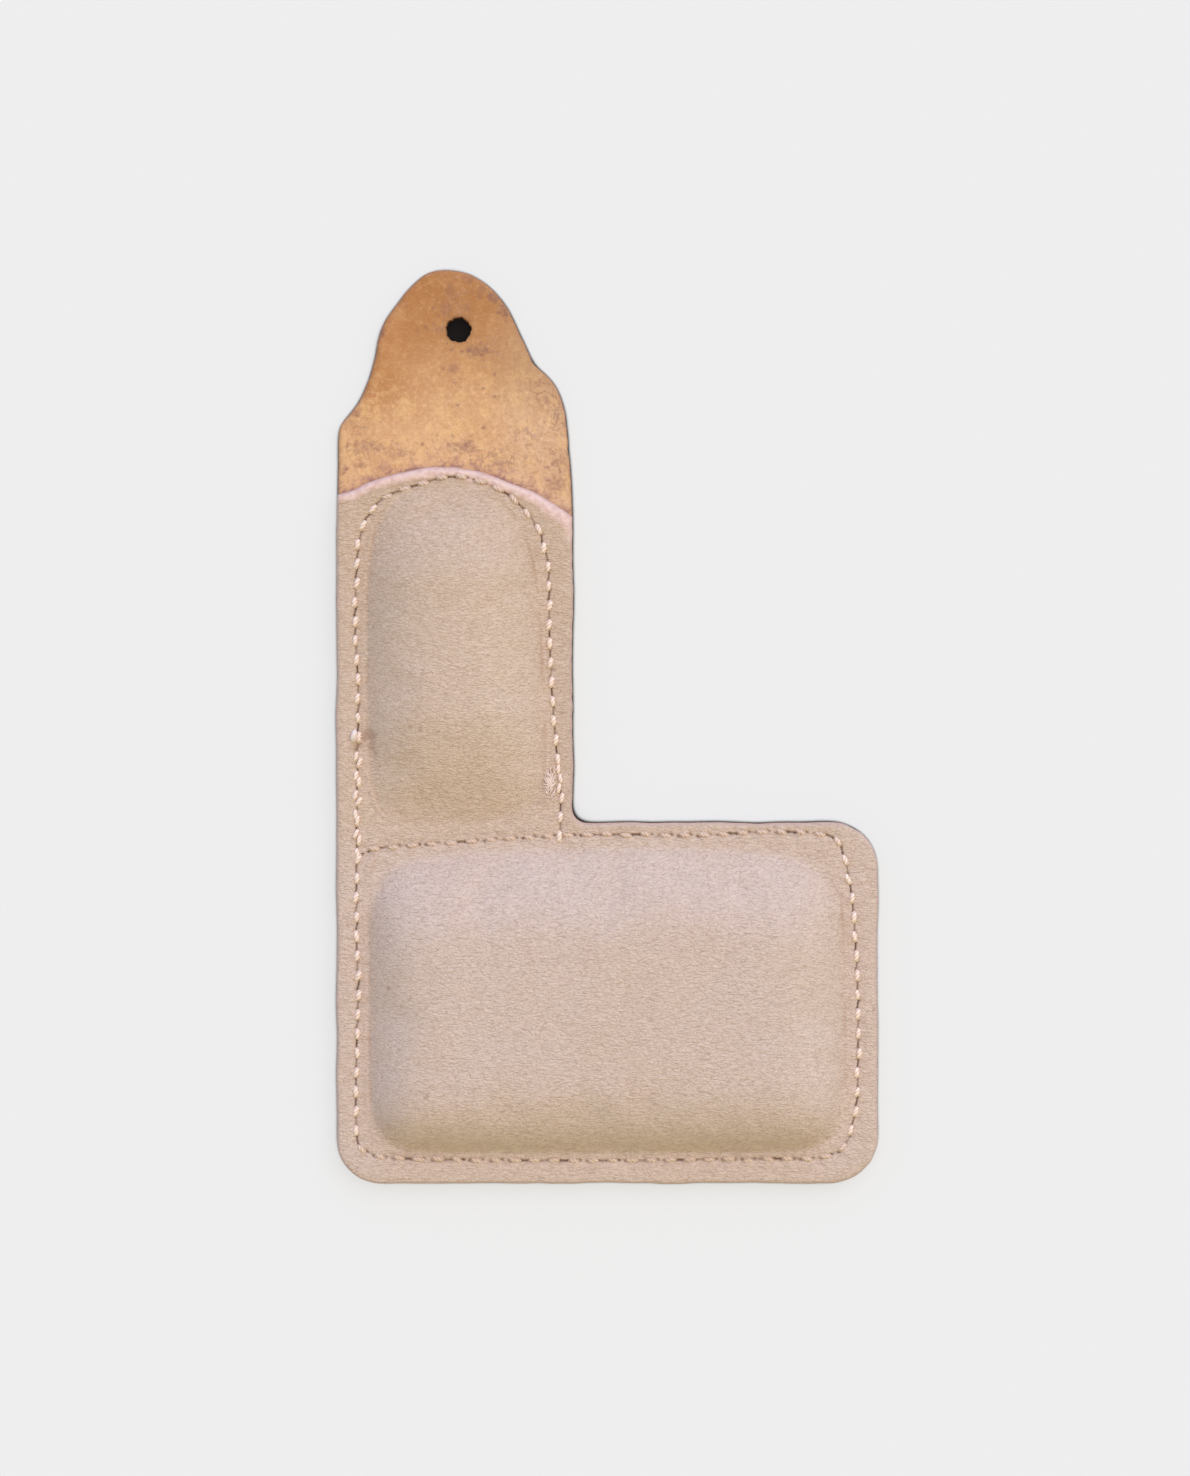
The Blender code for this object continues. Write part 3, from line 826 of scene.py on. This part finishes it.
def build_felt(name, pad, material):
    """The soft filler under one moulding, just smaller than the space that the cover leaves."""
    rim_path = Path(pad.foot.row(COVER_THICKNESS + FELT_GAP, 0.5), closed=True, step=0.3)
    rim = rim_path.row(0.0, 0.6)
    inside = spaced(rim, [(rim_path.row(0.35, 0.6), 0.2), (lattice(rim_path, 1.2, 0.6), 0.7)])

    def top(places):
        return np.maximum(BACKING_TOP + FELT_LEAST, cover_under(places) - FELT_CLEARANCE)

    def under(places):
        return np.full(len(places), BACKING_TOP + FELT_LIFT)

    wall = ((0.02, 0.3), (0.02, 0.7))
    return leather_piece(name, [rim], inside, inside, top, under, wall, [material] * 3, lambda corners: {})


# ---------------- threads

def strand(plan, level, radius, tone_and_highlight, lobes=3, twist=3.6, sides=12):
    """A twisted strand along a line of plan points and levels: its corners, faces, ply depths and tone and
    highlight values.
    """
    line = np.column_stack((plan, level))
    along = unit(np.gradient(line, axis=0))
    side = unit(np.cross((0.0, 0.0, 1.0), along))
    over = np.cross(along, side)
    turns = np.linspace(0.0, math.tau, sides, endpoint=False)
    lobe = np.abs(np.cos(lobes / 2.0 * (turns[None, :] - twist * runs(line)[:, None])))
    girth = np.reshape(radius, (-1, 1)) * (0.80 + 0.24 * lobe)
    corners = (
        line[:, None, :]
        + side[:, None, :] * (girth * np.cos(turns))[..., None]
        + over[:, None, :] * (girth * np.sin(turns))[..., None]
    ).reshape(-1, 3)
    number = np.arange(len(corners)).reshape(len(line), sides)
    turned = np.roll(number, -1, axis=1)
    quads = np.stack((number[:-1], turned[:-1], turned[1:], number[1:]), axis=-1)
    faces = [*quads.reshape(-1, 4).tolist(), number[0, ::-1].tolist(), number[-1].tolist()]
    return corners, faces, lobe.ravel(), np.full(len(corners), tone_and_highlight)


def join_strands(name, strands, material):
    corners, faces, plies, tones_and_highlights = [], [], [], []
    first = 0
    for places, sides, ply, tone_and_highlight in strands:
        corners.append(places)
        faces += [[first + i for i in side] for side in sides]
        plies.append(ply)
        tones_and_highlights.append(tone_and_highlight)
        first += len(places)
    corners = np.vstack(corners)
    marks = {"ply": np.concatenate(plies), "tone_and_highlight": np.concatenate(tones_and_highlights)}
    return make_mesh(name, corners, faces, [material], [0] * len(faces), marks)


def needle_stitch(spot, direction, draw, offset=0.0, lift=0.0, forward=0.0, girth=1.0):
    """One stretch of needle thread on the front, from hole to hole."""
    slant = draw.normal(-0.12, 0.16)
    side = leftward(direction)
    turned = direction * math.cos(slant) + side * math.sin(slant)
    upright = direction[1] ** 2
    u = np.linspace(-1.0, 1.0, 17)
    length = (SHOWN + 0.15 * (1.0 - upright)) * draw.uniform(0.9, 1.1)
    middle = spot + side * (offset + draw.normal(0.0, 0.08)) + direction * forward
    plan = middle + turned * (u[:, None] * length / 2)
    top = FLANGE_TOP - 0.15 + lift + 0.13 * upright + draw.normal(0.0, 0.03)
    level = top - 0.30 * np.abs(u) ** 2.5 - 0.5 * np.abs(u) ** 8
    # Painted highlight: the more upright the run, the brighter its thread, with a little random tone.
    tone_and_highlight = 0.05 + 0.95 * upright**1.5 + draw.normal(0.0, 0.07)
    radius = girth * THREAD_RADIUS * draw.uniform(0.93, 1.07) * (1.0 - 0.3 * np.abs(u) ** 3)
    return strand(plan, level, radius, tone_and_highlight)


def bobbin_stitch(spot, direction, draw):
    """One stretch of bobbin thread, drawn into the back."""
    u = np.linspace(-1.0, 1.0, 13)
    plan = spot + leftward(direction) * draw.normal(0.0, 0.04) + direction * (u[:, None] * BOBBIN_SHOWN / 2)
    level = 0.33 + 0.75 * np.abs(u) ** 6
    return strand(plan, level, BOBBIN_RADIUS, 0.6)


# Where the seam is sewn twice: (lowest y, highest y, -1 for the left line or 1 for the right, half the gap
# between the two rows, how far the second row's stitches lag).
BACKTACKS = ((TIP - 89.6, TIP - 73.6, -1.0, 0.23, 0.9), (TIP - 84.6, TIP - 78.0, 1.0, 0.16, 1.5))


def knot(spot, direction):
    """The knot at the seam's start: one fat, short wrap of thread with two cut ends."""
    u = np.linspace(-1.0, 1.0, 21)
    level = FLANGE_TOP + 0.16 - 0.25 * u**2
    girth = 0.56 * np.sqrt(1.0 - 0.93 * u**2)
    parts = [strand(spot + direction * u[:, None], level, girth, 1.25, lobes=2, twist=1.1, sides=20)]
    end = np.linspace(0.0, 1.0, 9)
    for turn, reach in ((0.4, 1.3), (-0.5, 1.0)):
        plan = spot + (0.3, -0.5) + ways(turn) * (end[:, None] * reach)
        level = FLANGE_TOP + 0.12 + 0.12 * np.sin(end * 3.0)
        parts.append(strand(plan, level, 0.07, 0.35, sides=8))
    return parts


def frayed_end(spot, draw):
    """The seam's cut end, teased into loose fibres."""
    parts = []
    for _ in range(FRAYED_FIBRES):
        start = spot + draw.normal(0.0, (0.26, 0.95))
        turn = draw.normal(math.pi / 2, 0.4)
        reach = draw.uniform(0.5, 1.2)
        curl = draw.normal(0.0, 0.8)
        end = np.linspace(0.0, 1.0, 9)
        plan = start + np.cumsum(ways(turn + curl * end) * reach / 8, axis=0)
        level = FLANGE_TOP + 0.08 + draw.uniform(0.0, 0.2) + 0.1 * np.sin(end * 3.1)
        parts.append(strand(plan, level, draw.uniform(0.05, 0.085), 1.15, sides=6))
    return parts


def build_threads(material):
    draw = np.random.default_rng(3)
    needle, bobbin = [], []
    middle = (LEFT + ARM_RIGHT) / 2
    for path in SEAMS.values():
        pitch = stitch_pitch(path)
        count = round(path.length / pitch)
        for spot, direction in zip(*path.at_run(np.arange(count + (0 if path.closed else 1)) * pitch)):
            sewn_twice = False
            for lowest, highest, line, half, lag in BACKTACKS:
                if path is finger_seam and lowest < spot[1] < highest and (spot[0] - middle) * line > 0:
                    needle.append(needle_stitch(spot, direction, draw, half, 0.04, girth=0.86))
                    needle.append(needle_stitch(spot, direction, draw, -half, 0.08, -lag, girth=0.86))
                    sewn_twice = True
            if not sewn_twice:
                needle.append(needle_stitch(spot, direction, draw))
        for spot, direction in zip(*path.at_run((np.arange(count) + 0.5) * pitch)):
            bobbin.append(bobbin_stitch(spot, direction, draw))
    needle += knot(KNOT, np.array((0.1, 0.995)))
    needle += frayed_end(FRAYED_END, draw)
    return join_strands("needle_thread", needle, material), join_strands("bobbin_thread", bobbin, material)


# ---------------- materials

def linear(*channels):
    """Display values from 0 to 255 as a linear colour."""
    out = []
    for channel in channels:
        value = channel / 255.0
        out.append(value / 12.92 if value <= 0.04045 else ((value + 0.055) / 1.055) ** 2.4)
    return (*out, 1.0)


class Nodes:
    """A short way to build a node tree. Inputs are values, or outputs of other nodes."""

    def __init__(self, tree):
        self.tree = tree

    def put(self, socket, value):
        if isinstance(value, bpy.types.NodeSocket):
            self.tree.links.new(value, socket)
        else:
            socket.default_value = value

    def node(self, kind, inputs, **settings):
        made = self.tree.nodes.new("ShaderNode" + kind)
        for key, value in settings.items():
            setattr(made, key, value)
        for key, value in inputs.items():
            self.put(made.inputs[key], value)
        return made

    def math(self, operation, a, b=0.0, c=0.0):
        return self.node("Math", {0: a, 1: b, 2: c}, operation=operation).outputs[0]

    def times(self, a, b):
        return self.math("MULTIPLY", a, b)

    def mix(self, share, a, b):
        """The first colour where share is 0, the second where it is 1."""
        return self.node("Mix", {0: share, 6: a, 7: b}, data_type="RGBA").outputs[2]

    def span(self, value, low, high, to_low=0.0, to_high=1.0, kind="SMOOTHSTEP"):
        """to_low below low, to_high above high, and a rise or fall between them."""
        inputs = {"Value": value, "From Min": low, "From Max": high, "To Min": to_low, "To Max": to_high}
        return self.node("MapRange", inputs, interpolation_type=kind).outputs["Result"]


class Finish(Nodes):
    """One material, whose colour is built up in coats. Its places are in millimetres at rest."""

    def __init__(self, name, colour, roughness, sheen=0.0):
        self.material = bpy.data.materials.new(name)
        self.material.use_nodes = True
        super().__init__(self.material.node_tree)
        self.shader = self.tree.nodes["Principled BSDF"].inputs
        self.put(self.shader["Roughness"], roughness)
        self.put(self.shader["Sheen Weight"], sheen)
        self.rest = self.node("Attribute", {}, attribute_name="rest").outputs["Vector"]
        self.colour = linear(*colour)

    def mark(self, name):
        """One of the marks that the mesh carries as an attribute."""
        return self.node("Attribute", {}, attribute_name=name).outputs["Fac"]

    def axis(self, number):
        return self.node("SeparateXYZ", {0: self.rest}).outputs[number]

    def stretched(self, x, y, z=1.0, turn=0.0, where=None):
        inputs = {"Vector": where or self.rest, "Scale": (x, y, z), "Rotation": (0.0, 0.0, turn)}
        return self.node("Mapping", inputs).outputs[0]

    def noise(self, scale, detail=2.0, roughness=0.5, distortion=0.0, where=None, output="Fac"):
        inputs = {
            "Vector": where or self.rest, "Scale": scale, "Detail": detail, "Roughness": roughness,
            "Distortion": distortion,
        }
        return self.node("TexNoise", inputs).outputs[output]

    def cells(self, scale, where):
        """How far each place is from the border of its cell."""
        inputs = {"Vector": where, "Scale": scale}
        return self.node("TexVoronoi", inputs, feature="DISTANCE_TO_EDGE").outputs["Distance"]

    def coat(self, share, *colour):
        """Lays one more colour over what is there, by a share from 0 to 1."""
        self.colour = self.mix(share, self.colour, linear(*colour))

    def coat_mark(self, name, strength, *colour):
        self.coat(self.times(self.mark(name), strength), *colour)

    def finish(self, height, depth, roughness=None):
        """The material, with its fine relief as a bump of the given depth in millimetres."""
        relief = self.node("Bump", {"Height": height, "Distance": depth * MM, "Strength": 1.0})
        self.put(self.shader["Base Color"], self.colour)
        self.put(self.shader["Normal"], relief.outputs[0])
        if roughness:
            self.put(self.shader["Roughness"], roughness)
        return self.material


# Plain finishes: (dark colour, light colour, roughness, bump depth, noise, sheen, how much finer in height).
TAN_CUT = ((128, 80, 50), (176, 118, 76), 0.6, 0.06, (2.5, 5.0, 0.7, 0.5), 0.0, 4.0)
COVER_CUT = ((176, 140, 122), (206, 172, 156), 0.75, 0.05, (4.0, 4.0, 0.65, 0.3), 0.0, 3.0)
COVER_INSIDE = ((196, 166, 148), (224, 198, 182), 0.85, 0.06, (3.0, 5.0, 0.7, 0.4), 0.0, 1.0)
FELT = ((188, 182, 170), (222, 217, 206), 0.95, 0.2, (2.0, 6.0, 0.75, 2.5), 0.3, 1.0)


def fibrous(name, dark, light, roughness, depth, noise, sheen, finer):
    """A plain fibrous finish between two colours. noise is its scale, detail, roughness and distortion."""
    n = Finish(name, dark, roughness, sheen)
    fibre = n.noise(*noise, n.stretched(1.0, 1.0, finer))
    n.coat(n.span(fibre, 0.3, 0.7), *light)
    return n.finish(fibre, depth)


def cover_face():
    """Soft beige leather: a fine pulled wrinkle, soiling where the photograph has it, and painted shade on
    some slopes, in the creases and stitch slits, at the band's foot and along the rim.
    """
    n = Finish("cover_leather_face", (212, 188, 174), 0.6, sheen=0.1)
    right, up, level = n.axis(0), n.axis(1), n.axis(2)
    on_slope = (level, FLANGE_TOP + 0.3, FLANGE_TOP + 1.8)
    swirl = n.noise(0.9, output="Color")
    warp = n.node("VectorMath", {0: swirl, 1: (0.9, 0.6, 0.0), 2: n.rest}, operation="MULTIPLY_ADD")
    edges = n.cells(1.0, n.stretched(1.0, 2.4, turn=0.05, where=warp.outputs[0]))
    wrinkle = n.noise(1.0, 3.0, 0.6, 0.8, n.stretched(1.05, 2.6, turn=0.03))
    fine = n.noise(4.6, 3.0, 0.65)

    finger = n.span(up, PALM_TOP - 8.0, PALM_TOP + 2.0)
    n.coat(finger, 210, 184, 163)
    n.coat(n.span(*on_slope, 0.16, 0.0), 202, 174, 148)
    arm_edge = n.times(n.span(right, ARM_RIGHT - 4.0, ARM_RIGHT - 0.6, 0.0, 0.3), finger)
    n.coat(n.times(arm_edge, n.span(right, ARM_RIGHT, ARM_RIGHT + 2.0, 1.0, 0.0)), 186, 158, 134)
    n.coat(n.span(up, TIP - 37.0, TIP - 33.0, 0.0, 0.4), 188, 158, 134)
    # Painted shade: darker and browner on the palm's lower slope, towards the heel.
    n.coat(n.times(n.span(up, HEEL + 5.0, HEEL + 15.0, 0.34, 0.0), n.span(*on_slope)), 180, 150, 118)
    # Painted shade: darker and warmer over the arm's upper part, towards the tip.
    n.coat(n.span(up, TIP - 66.0, TIP - 34.0, 0.0, 0.75), 201, 171, 142)
    n.coat(n.span(n.noise(0.07, 3.0, 0.55, 0.5), 0.35, 0.7, 0.0, 0.3), 211, 181, 160)

    cracks = n.times(n.span(edges, 0.0, 0.1, 1.0, 0.0), n.span(wrinkle, 0.35, 0.6, 0.48, 0.24))
    n.coat(cracks, 146, 114, 94)
    n.coat(n.span(wrinkle, 0.48, 0.68, 0.0, 0.38), 230, 208, 194)
    n.coat(n.span(wrinkle, 0.32, 0.47, 0.26, 0.0), 162, 132, 112)
    n.coat(n.span(fine, 0.54, 0.72, 0.0, 0.36), 234, 214, 202)
    n.coat(n.span(fine, 0.3, 0.44, 0.28, 0.0), 158, 128, 108)
    # Painted shade in the creases round the pads' feet, strongest on their sides and lower ends.
    n.coat_mark("crease", 0.42, 170, 126, 96)
    n.coat_mark("stain", 0.75, 158, 122, 98)
    # Painted shade in the small dip along the foot of the skived band.
    n.coat_mark("band_foot", 0.3, 196, 160, 132)

    band = n.mark("band")
    pale_cut = n.span(n.noise(1.1, 3.0, 0.55, 0.2), 0.34, 0.62)
    n.colour = n.mix(band, n.colour, n.mix(pale_cut, linear(214, 176, 164), linear(229, 198, 186)))
    # Painted shade along the cover's rolled rim.
    n.coat_mark("rim", 0.5, 186, 152, 146)
    # Painted shade in the stitch slits and needle holes.
    n.coat_mark("slit", 0.9, 104, 76, 60)
    height = n.math("MULTIPLY_ADD", n.span(edges, 0.0, 0.26), 0.5, n.times(wrinkle, 1.8))
    height = n.math("MULTIPLY_ADD", fine, 0.45, height)
    height = n.times(height, n.math("SUBTRACT", 1.0, n.times(band, 0.75)))
    return n.finish(height, 0.1, n.span(wrinkle, 0.3, 0.7, 0.55, 0.68))


def tan_flesh():
    """The bare, fibrous side of the backing, which shows on the tongue."""
    n = Finish("tan_leather_flesh", (226, 177, 131), 0.85, sheen=0.05)
    right, up = n.axis(0), n.axis(1)
    fibre = n.noise(1.5, 4.0, 0.66, 0.3)
    patch = n.noise(0.4, 4.0, 0.62, 0.5)
    speck = n.noise(2.8, 3.0, 0.7)
    ragged = n.noise(0.75, 5.0, 0.7, 0.6)

    n.coat(n.span(up, TIP - 30.0, TIP - 4.0), 178, 119, 66)
    grey = n.mix(n.span(up, TIP - 27.0, TIP - 15.0), linear(218, 180, 148), linear(188, 150, 113))
    n.colour = n.mix(n.span(right, ARM_RIGHT - 15.0, ARM_RIGHT - 6.0, 0.0, 0.6), n.colour, grey)
    left = n.span(right, LEFT + 4.0, LEFT + 16.0, 1.0, 0.0)
    n.coat(n.times(left, n.span(up, TIP - 26.0, TIP - 17.0, 0.1, 1.0)), 184, 122, 68)
    n.coat(n.span(n.noise(0.16, 3.0, 0.55, 0.5), 0.42, 0.66, 0.0, 0.35), 204, 148, 102)
    upper = n.span(up, TIP - 24.0, TIP - 11.0)
    n.coat(n.times(n.span(patch, 0.48, 0.62, 0.0, 0.36), n.span(upper, 0.0, 1.0, 1.0, 0.3)), 241, 194, 134)
    n.coat(n.times(n.span(fibre, 0.5, 0.68, 0.0, 0.36), n.span(upper, 0.0, 1.0, 1.0, 0.4)), 246, 208, 164)
    n.coat(n.span(fibre, 0.32, 0.47, 0.34, 0.0), 184, 130, 86)
    n.coat(n.span(speck, 0.57, 0.69, 0.0, 0.4), 172, 118, 74)

    n.coat(n.times(n.times(n.mark("glue"), n.span(ragged, 0.5, 0.6)), 0.7), 172, 124, 110)
    n.coat(n.times(n.times(n.mark("fringe"), n.span(ragged, 0.4, 0.56, 0.15, 1.0)), 0.8), 158, 110, 106)
    wander = n.math("ABSOLUTE", n.math("SUBTRACT", n.noise(0.5, 5.0, 0.7, 0.9), 0.5))
    lines = n.times(n.span(wander, 0.01, 0.06, 1.0, 0.0), n.span(patch, 0.4, 0.5))
    scribble = n.math("MAXIMUM", lines, n.span(ragged, 0.55, 0.62, 0.0, 0.85))
    n.coat(n.times(n.times(n.mark("scribble"), scribble), 0.7), 148, 108, 94)
    n.coat(n.times(n.times(n.mark("stain"), n.span(fibre, 0.36, 0.56, 1.0, 0.55)), 1.25), 142, 98, 84)
    n.coat_mark("rim", 0.45, 140, 88, 62)
    # Painted shade round the edge of the hole.
    n.coat_mark("hole", 0.5, 120, 76, 46)
    return n.finish(n.math("MULTIPLY_ADD", speck, -0.6, n.times(fibre, 1.3)), 0.11)


def tan_grain():
    """The smooth side of the backing, which rests on the hand."""
    n = Finish("tan_leather_grain", (208, 152, 104), 0.5, sheen=0.05)
    n.coat(n.span(n.noise(0.07, 4.0, 0.6, 0.6), 0.35, 0.65), 220, 168, 120)
    n.coat(n.span(n.noise(0.5, 5.0, 0.7, 1.0), 0.56, 0.72, 0.0, 0.35), 180, 122, 78)
    n.coat_mark("rim", 0.5, 150, 96, 62)
    n.coat_mark("drawn", 0.35, 140, 90, 60)
    pores = n.span(n.cells(1.8, n.stretched(1.0, 1.15)), 0.0, 0.16)
    return n.finish(n.math("MULTIPLY_ADD", n.noise(4.0, 4.0, 0.6), 0.6, pores), 0.04)


def thread():
    """Pale, twisted thread with a painted highlight: bright where its tone and highlight mark is 1, on
    upright runs, and greyish past that, in the knot.
    """
    n = Finish("seam_thread", (182, 148, 124), 0.5, sheen=0.2)
    ply, tone_and_highlight = n.mark("ply"), n.mark("tone_and_highlight")
    # Painted highlight and shade on the twist: lighter on the ply crests, darker between them.
    n.coat(ply, 222, 192, 170)
    bright = n.mix(ply, linear(214, 176, 154), linear(255, 233, 216))
    # Painted highlight: brighter where the tone and highlight mark is high.
    n.colour = n.mix(n.span(tone_and_highlight, 0.0, 1.0), n.colour, bright)
    n.coat(n.span(tone_and_highlight, 1.1, 1.2, 0.0, 0.6), 222, 206, 202)
    fibre = n.noise(9.0, 3.0, 0.6, 0.5)
    n.coat(n.span(fibre, 0.4, 0.75, 0.0, 0.25), 255, 240, 230)
    return n.finish(fibre, 0.03)


# ---------------- stage, light and camera

CAMERA_AIM = Vector((-1.9, -1.9, 3.0))
CAMERA_HEIGHT = 620.0
FRAME_HEIGHT = 228.8
SENSOR = 36.0

# How much of the floor's brightness is its own, as on a light table, which keeps shadows on it faint.
FLOOR_GLOW = 0.75
FLOOR_WHITE = 0.8
FLOOR_BLACK = (0.006, 0.005, 0.005, 1.0)
FLOOR_CORNERS = [(-9.0, -5.0, 0.0), (9.0, -5.0, 0.0), (0.0, 10.0, 0.0)]
FLOOR_DROP = 0.02

# Where painted shade makes the floor dark, as (reach in mm, samples, share of open sky at which it is dark,
# and pale).
SIDEWAYS = (7.0, 32, 0.78, 0.94)
UPWARD = (1.7, 24, 0.53, 0.66)
ROUND_ABOUT = (5.0, 24, 0.68, 0.78)
SIDEWAYS_TURNS = (0.0, math.tau / 8, math.tau / 4, math.tau / 2, math.tau * 3 / 4)

# The studio's surround, as red, green and blue: its brightness, and how that grows to the right,
# tipward and upward.
SURROUND = ((0.599, 0.06, -0.03, 0.0), (0.80, 0.03, 0.10, -0.30), (0.935, -0.06, 0.57, -0.49))
BACKDROP = 0.855
KEY_FROM = Vector((0.31, 0.43, 0.85))
KEY_ENERGY = 1.75
KEY_SPREAD = 70.0


def grey(value):
    return (value, value, value, 1.0)


def openness(n, reach, samples, dark, pale, toward=None):
    """0 where nearby things close in on the floor, 1 where it is open, looking up or toward a direction."""
    inputs = {"Distance": reach * MM}
    if toward:
        inputs["Normal"] = n.node("CombineXYZ", dict(enumerate(toward))).outputs[0]
    near = n.node("AmbientOcclusion", inputs, samples=samples)
    return n.span(near.outputs["AO"], dark, pale, kind="LINEAR")


def floor_shader(n, base, glow):
    inputs = {
        "Base Color": base, "Emission Color": glow, "Emission Strength": 1.0, "Roughness": 0.9,
        "Specular IOR Level": 0.1,
    }
    return n.node("BsdfPrincipled", inputs).outputs[0]


def floor_finish():
    """Pale, with painted shade: dark only right against the object and inside its hole."""
    made = bpy.data.materials.new("pale_floor")
    made.use_nodes = True
    n = Nodes(made.node_tree)
    base, glow = grey(FLOOR_WHITE * (1.0 - FLOOR_GLOW)), grey(BACKDROP * FLOOR_GLOW)
    widest = 0.0
    for turn in SIDEWAYS_TURNS:
        way = openness(n, *SIDEWAYS, (math.cos(turn), math.sin(turn), 0.0))
        widest = n.math("MAXIMUM", widest, way)
    open_share = n.times(openness(n, *UPWARD), widest)
    closed_in = floor_shader(n, n.mix(open_share, FLOOR_BLACK, base), n.mix(open_share, FLOOR_BLACK, glow))
    pick = n.node("MixShader", {0: openness(n, *ROUND_ABOUT), 1: closed_in, 2: floor_shader(n, base, glow)})
    n.put(n.tree.nodes["Material Output"].inputs["Surface"], pick.outputs[0])
    return made


def build_stage():
    mesh = bpy.data.meshes.new("floor")
    mesh.from_pydata(FLOOR_CORNERS, [], [(0, 1, 2)])
    mesh.materials.append(floor_finish())
    floor = link("floor", mesh)
    floor.location = (0.0, 0.0, -FLOOR_DROP * MM)
    floor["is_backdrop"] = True


def build_light():
    """An even, tinted surround that the camera sees as a pale backdrop, and one soft white sun."""
    world = bpy.data.worlds.new("studio")
    world.use_nodes = True
    n = Nodes(world.node_tree)
    place = n.node("TexCoord", {}).outputs["Generated"]
    ways = n.node("SeparateXYZ", {0: place}).outputs
    channels = {}
    for channel, (level, *slopes) in enumerate(SURROUND):
        for way, slope in zip(ways, slopes):
            level = n.math("MULTIPLY_ADD", way, slope, level)
        channels[channel] = level
    tinted = n.node("CombineColor", channels).outputs[0]
    seen = n.node("LightPath", {}).outputs["Is Camera Ray"]
    n.put(n.tree.nodes["Background"].inputs["Color"], n.mix(seen, tinted, grey(BACKDROP)))
    bpy.context.scene.world = world
    bpy.context.scene.view_settings.view_transform = "Standard"

    lamp = bpy.data.lights.new("key", "SUN")
    lamp.energy = KEY_ENERGY
    lamp.angle = math.radians(KEY_SPREAD)
    key = link("key", lamp)
    key.rotation_mode = "QUATERNION"
    key.rotation_quaternion = (-KEY_FROM).to_track_quat("-Z", "Y")


def build_camera():
    data = bpy.data.cameras.new("camera")
    data.sensor_width = SENSOR
    data.lens = SENSOR * CAMERA_HEIGHT / FRAME_HEIGHT
    data.clip_start = 0.01
    data.clip_end = 10.0
    made = link("camera", data)
    made.location = (CAMERA_AIM + Vector((0.0, 0.0, CAMERA_HEIGHT))) * MM
    bpy.context.scene.camera = made


# ---------------- assembly

def bend(piece):
    """Bakes a piece's transform into its mesh."""
    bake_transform(piece)


def build():
    moved = [settle(pad) for pad in PADS.values()]
    print("the cloth pass moved the two pads by up to", moved, "mm")
    build_camera()
    build_light()
    build_stage()
    tan = [tan_flesh(), tan_grain(), fibrous("tan_leather_cut", *TAN_CUT)]
    felt = fibrous("felt", *FELT)

    inside = fibrous("cover_leather_inside", *COVER_INSIDE)
    cover = build_cover([cover_face(), inside, fibrous("cover_leather_cut", *COVER_CUT)])
    bend(cover)
    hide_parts("palm_cover", "finger_cover")

    backing = build_backing("backing_leather", False, tan)
    bend(backing)
    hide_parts("palm_backing", "finger_backing")

    tongue = build_backing("tongue_leather", True, tan)
    bend(tongue)
    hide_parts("tongue")

    for body, pad in PADS.items():
        piece = build_felt(f"{body}_felt", pad, felt)
        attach(piece, body)
        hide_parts(f"{body}_filler")

    for piece, kind in zip(build_threads(thread()), ("needle", "bobbin")):
        bend(piece)
        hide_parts(f"palm_seam_{kind}_thread", f"finger_seam_{kind}_thread")

    boxes = [(CAD_LOW, CAD_HIGH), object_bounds()]
    boxes = [[[round(v, 6) for v in corner] for corner in box] for box in boxes]


build()
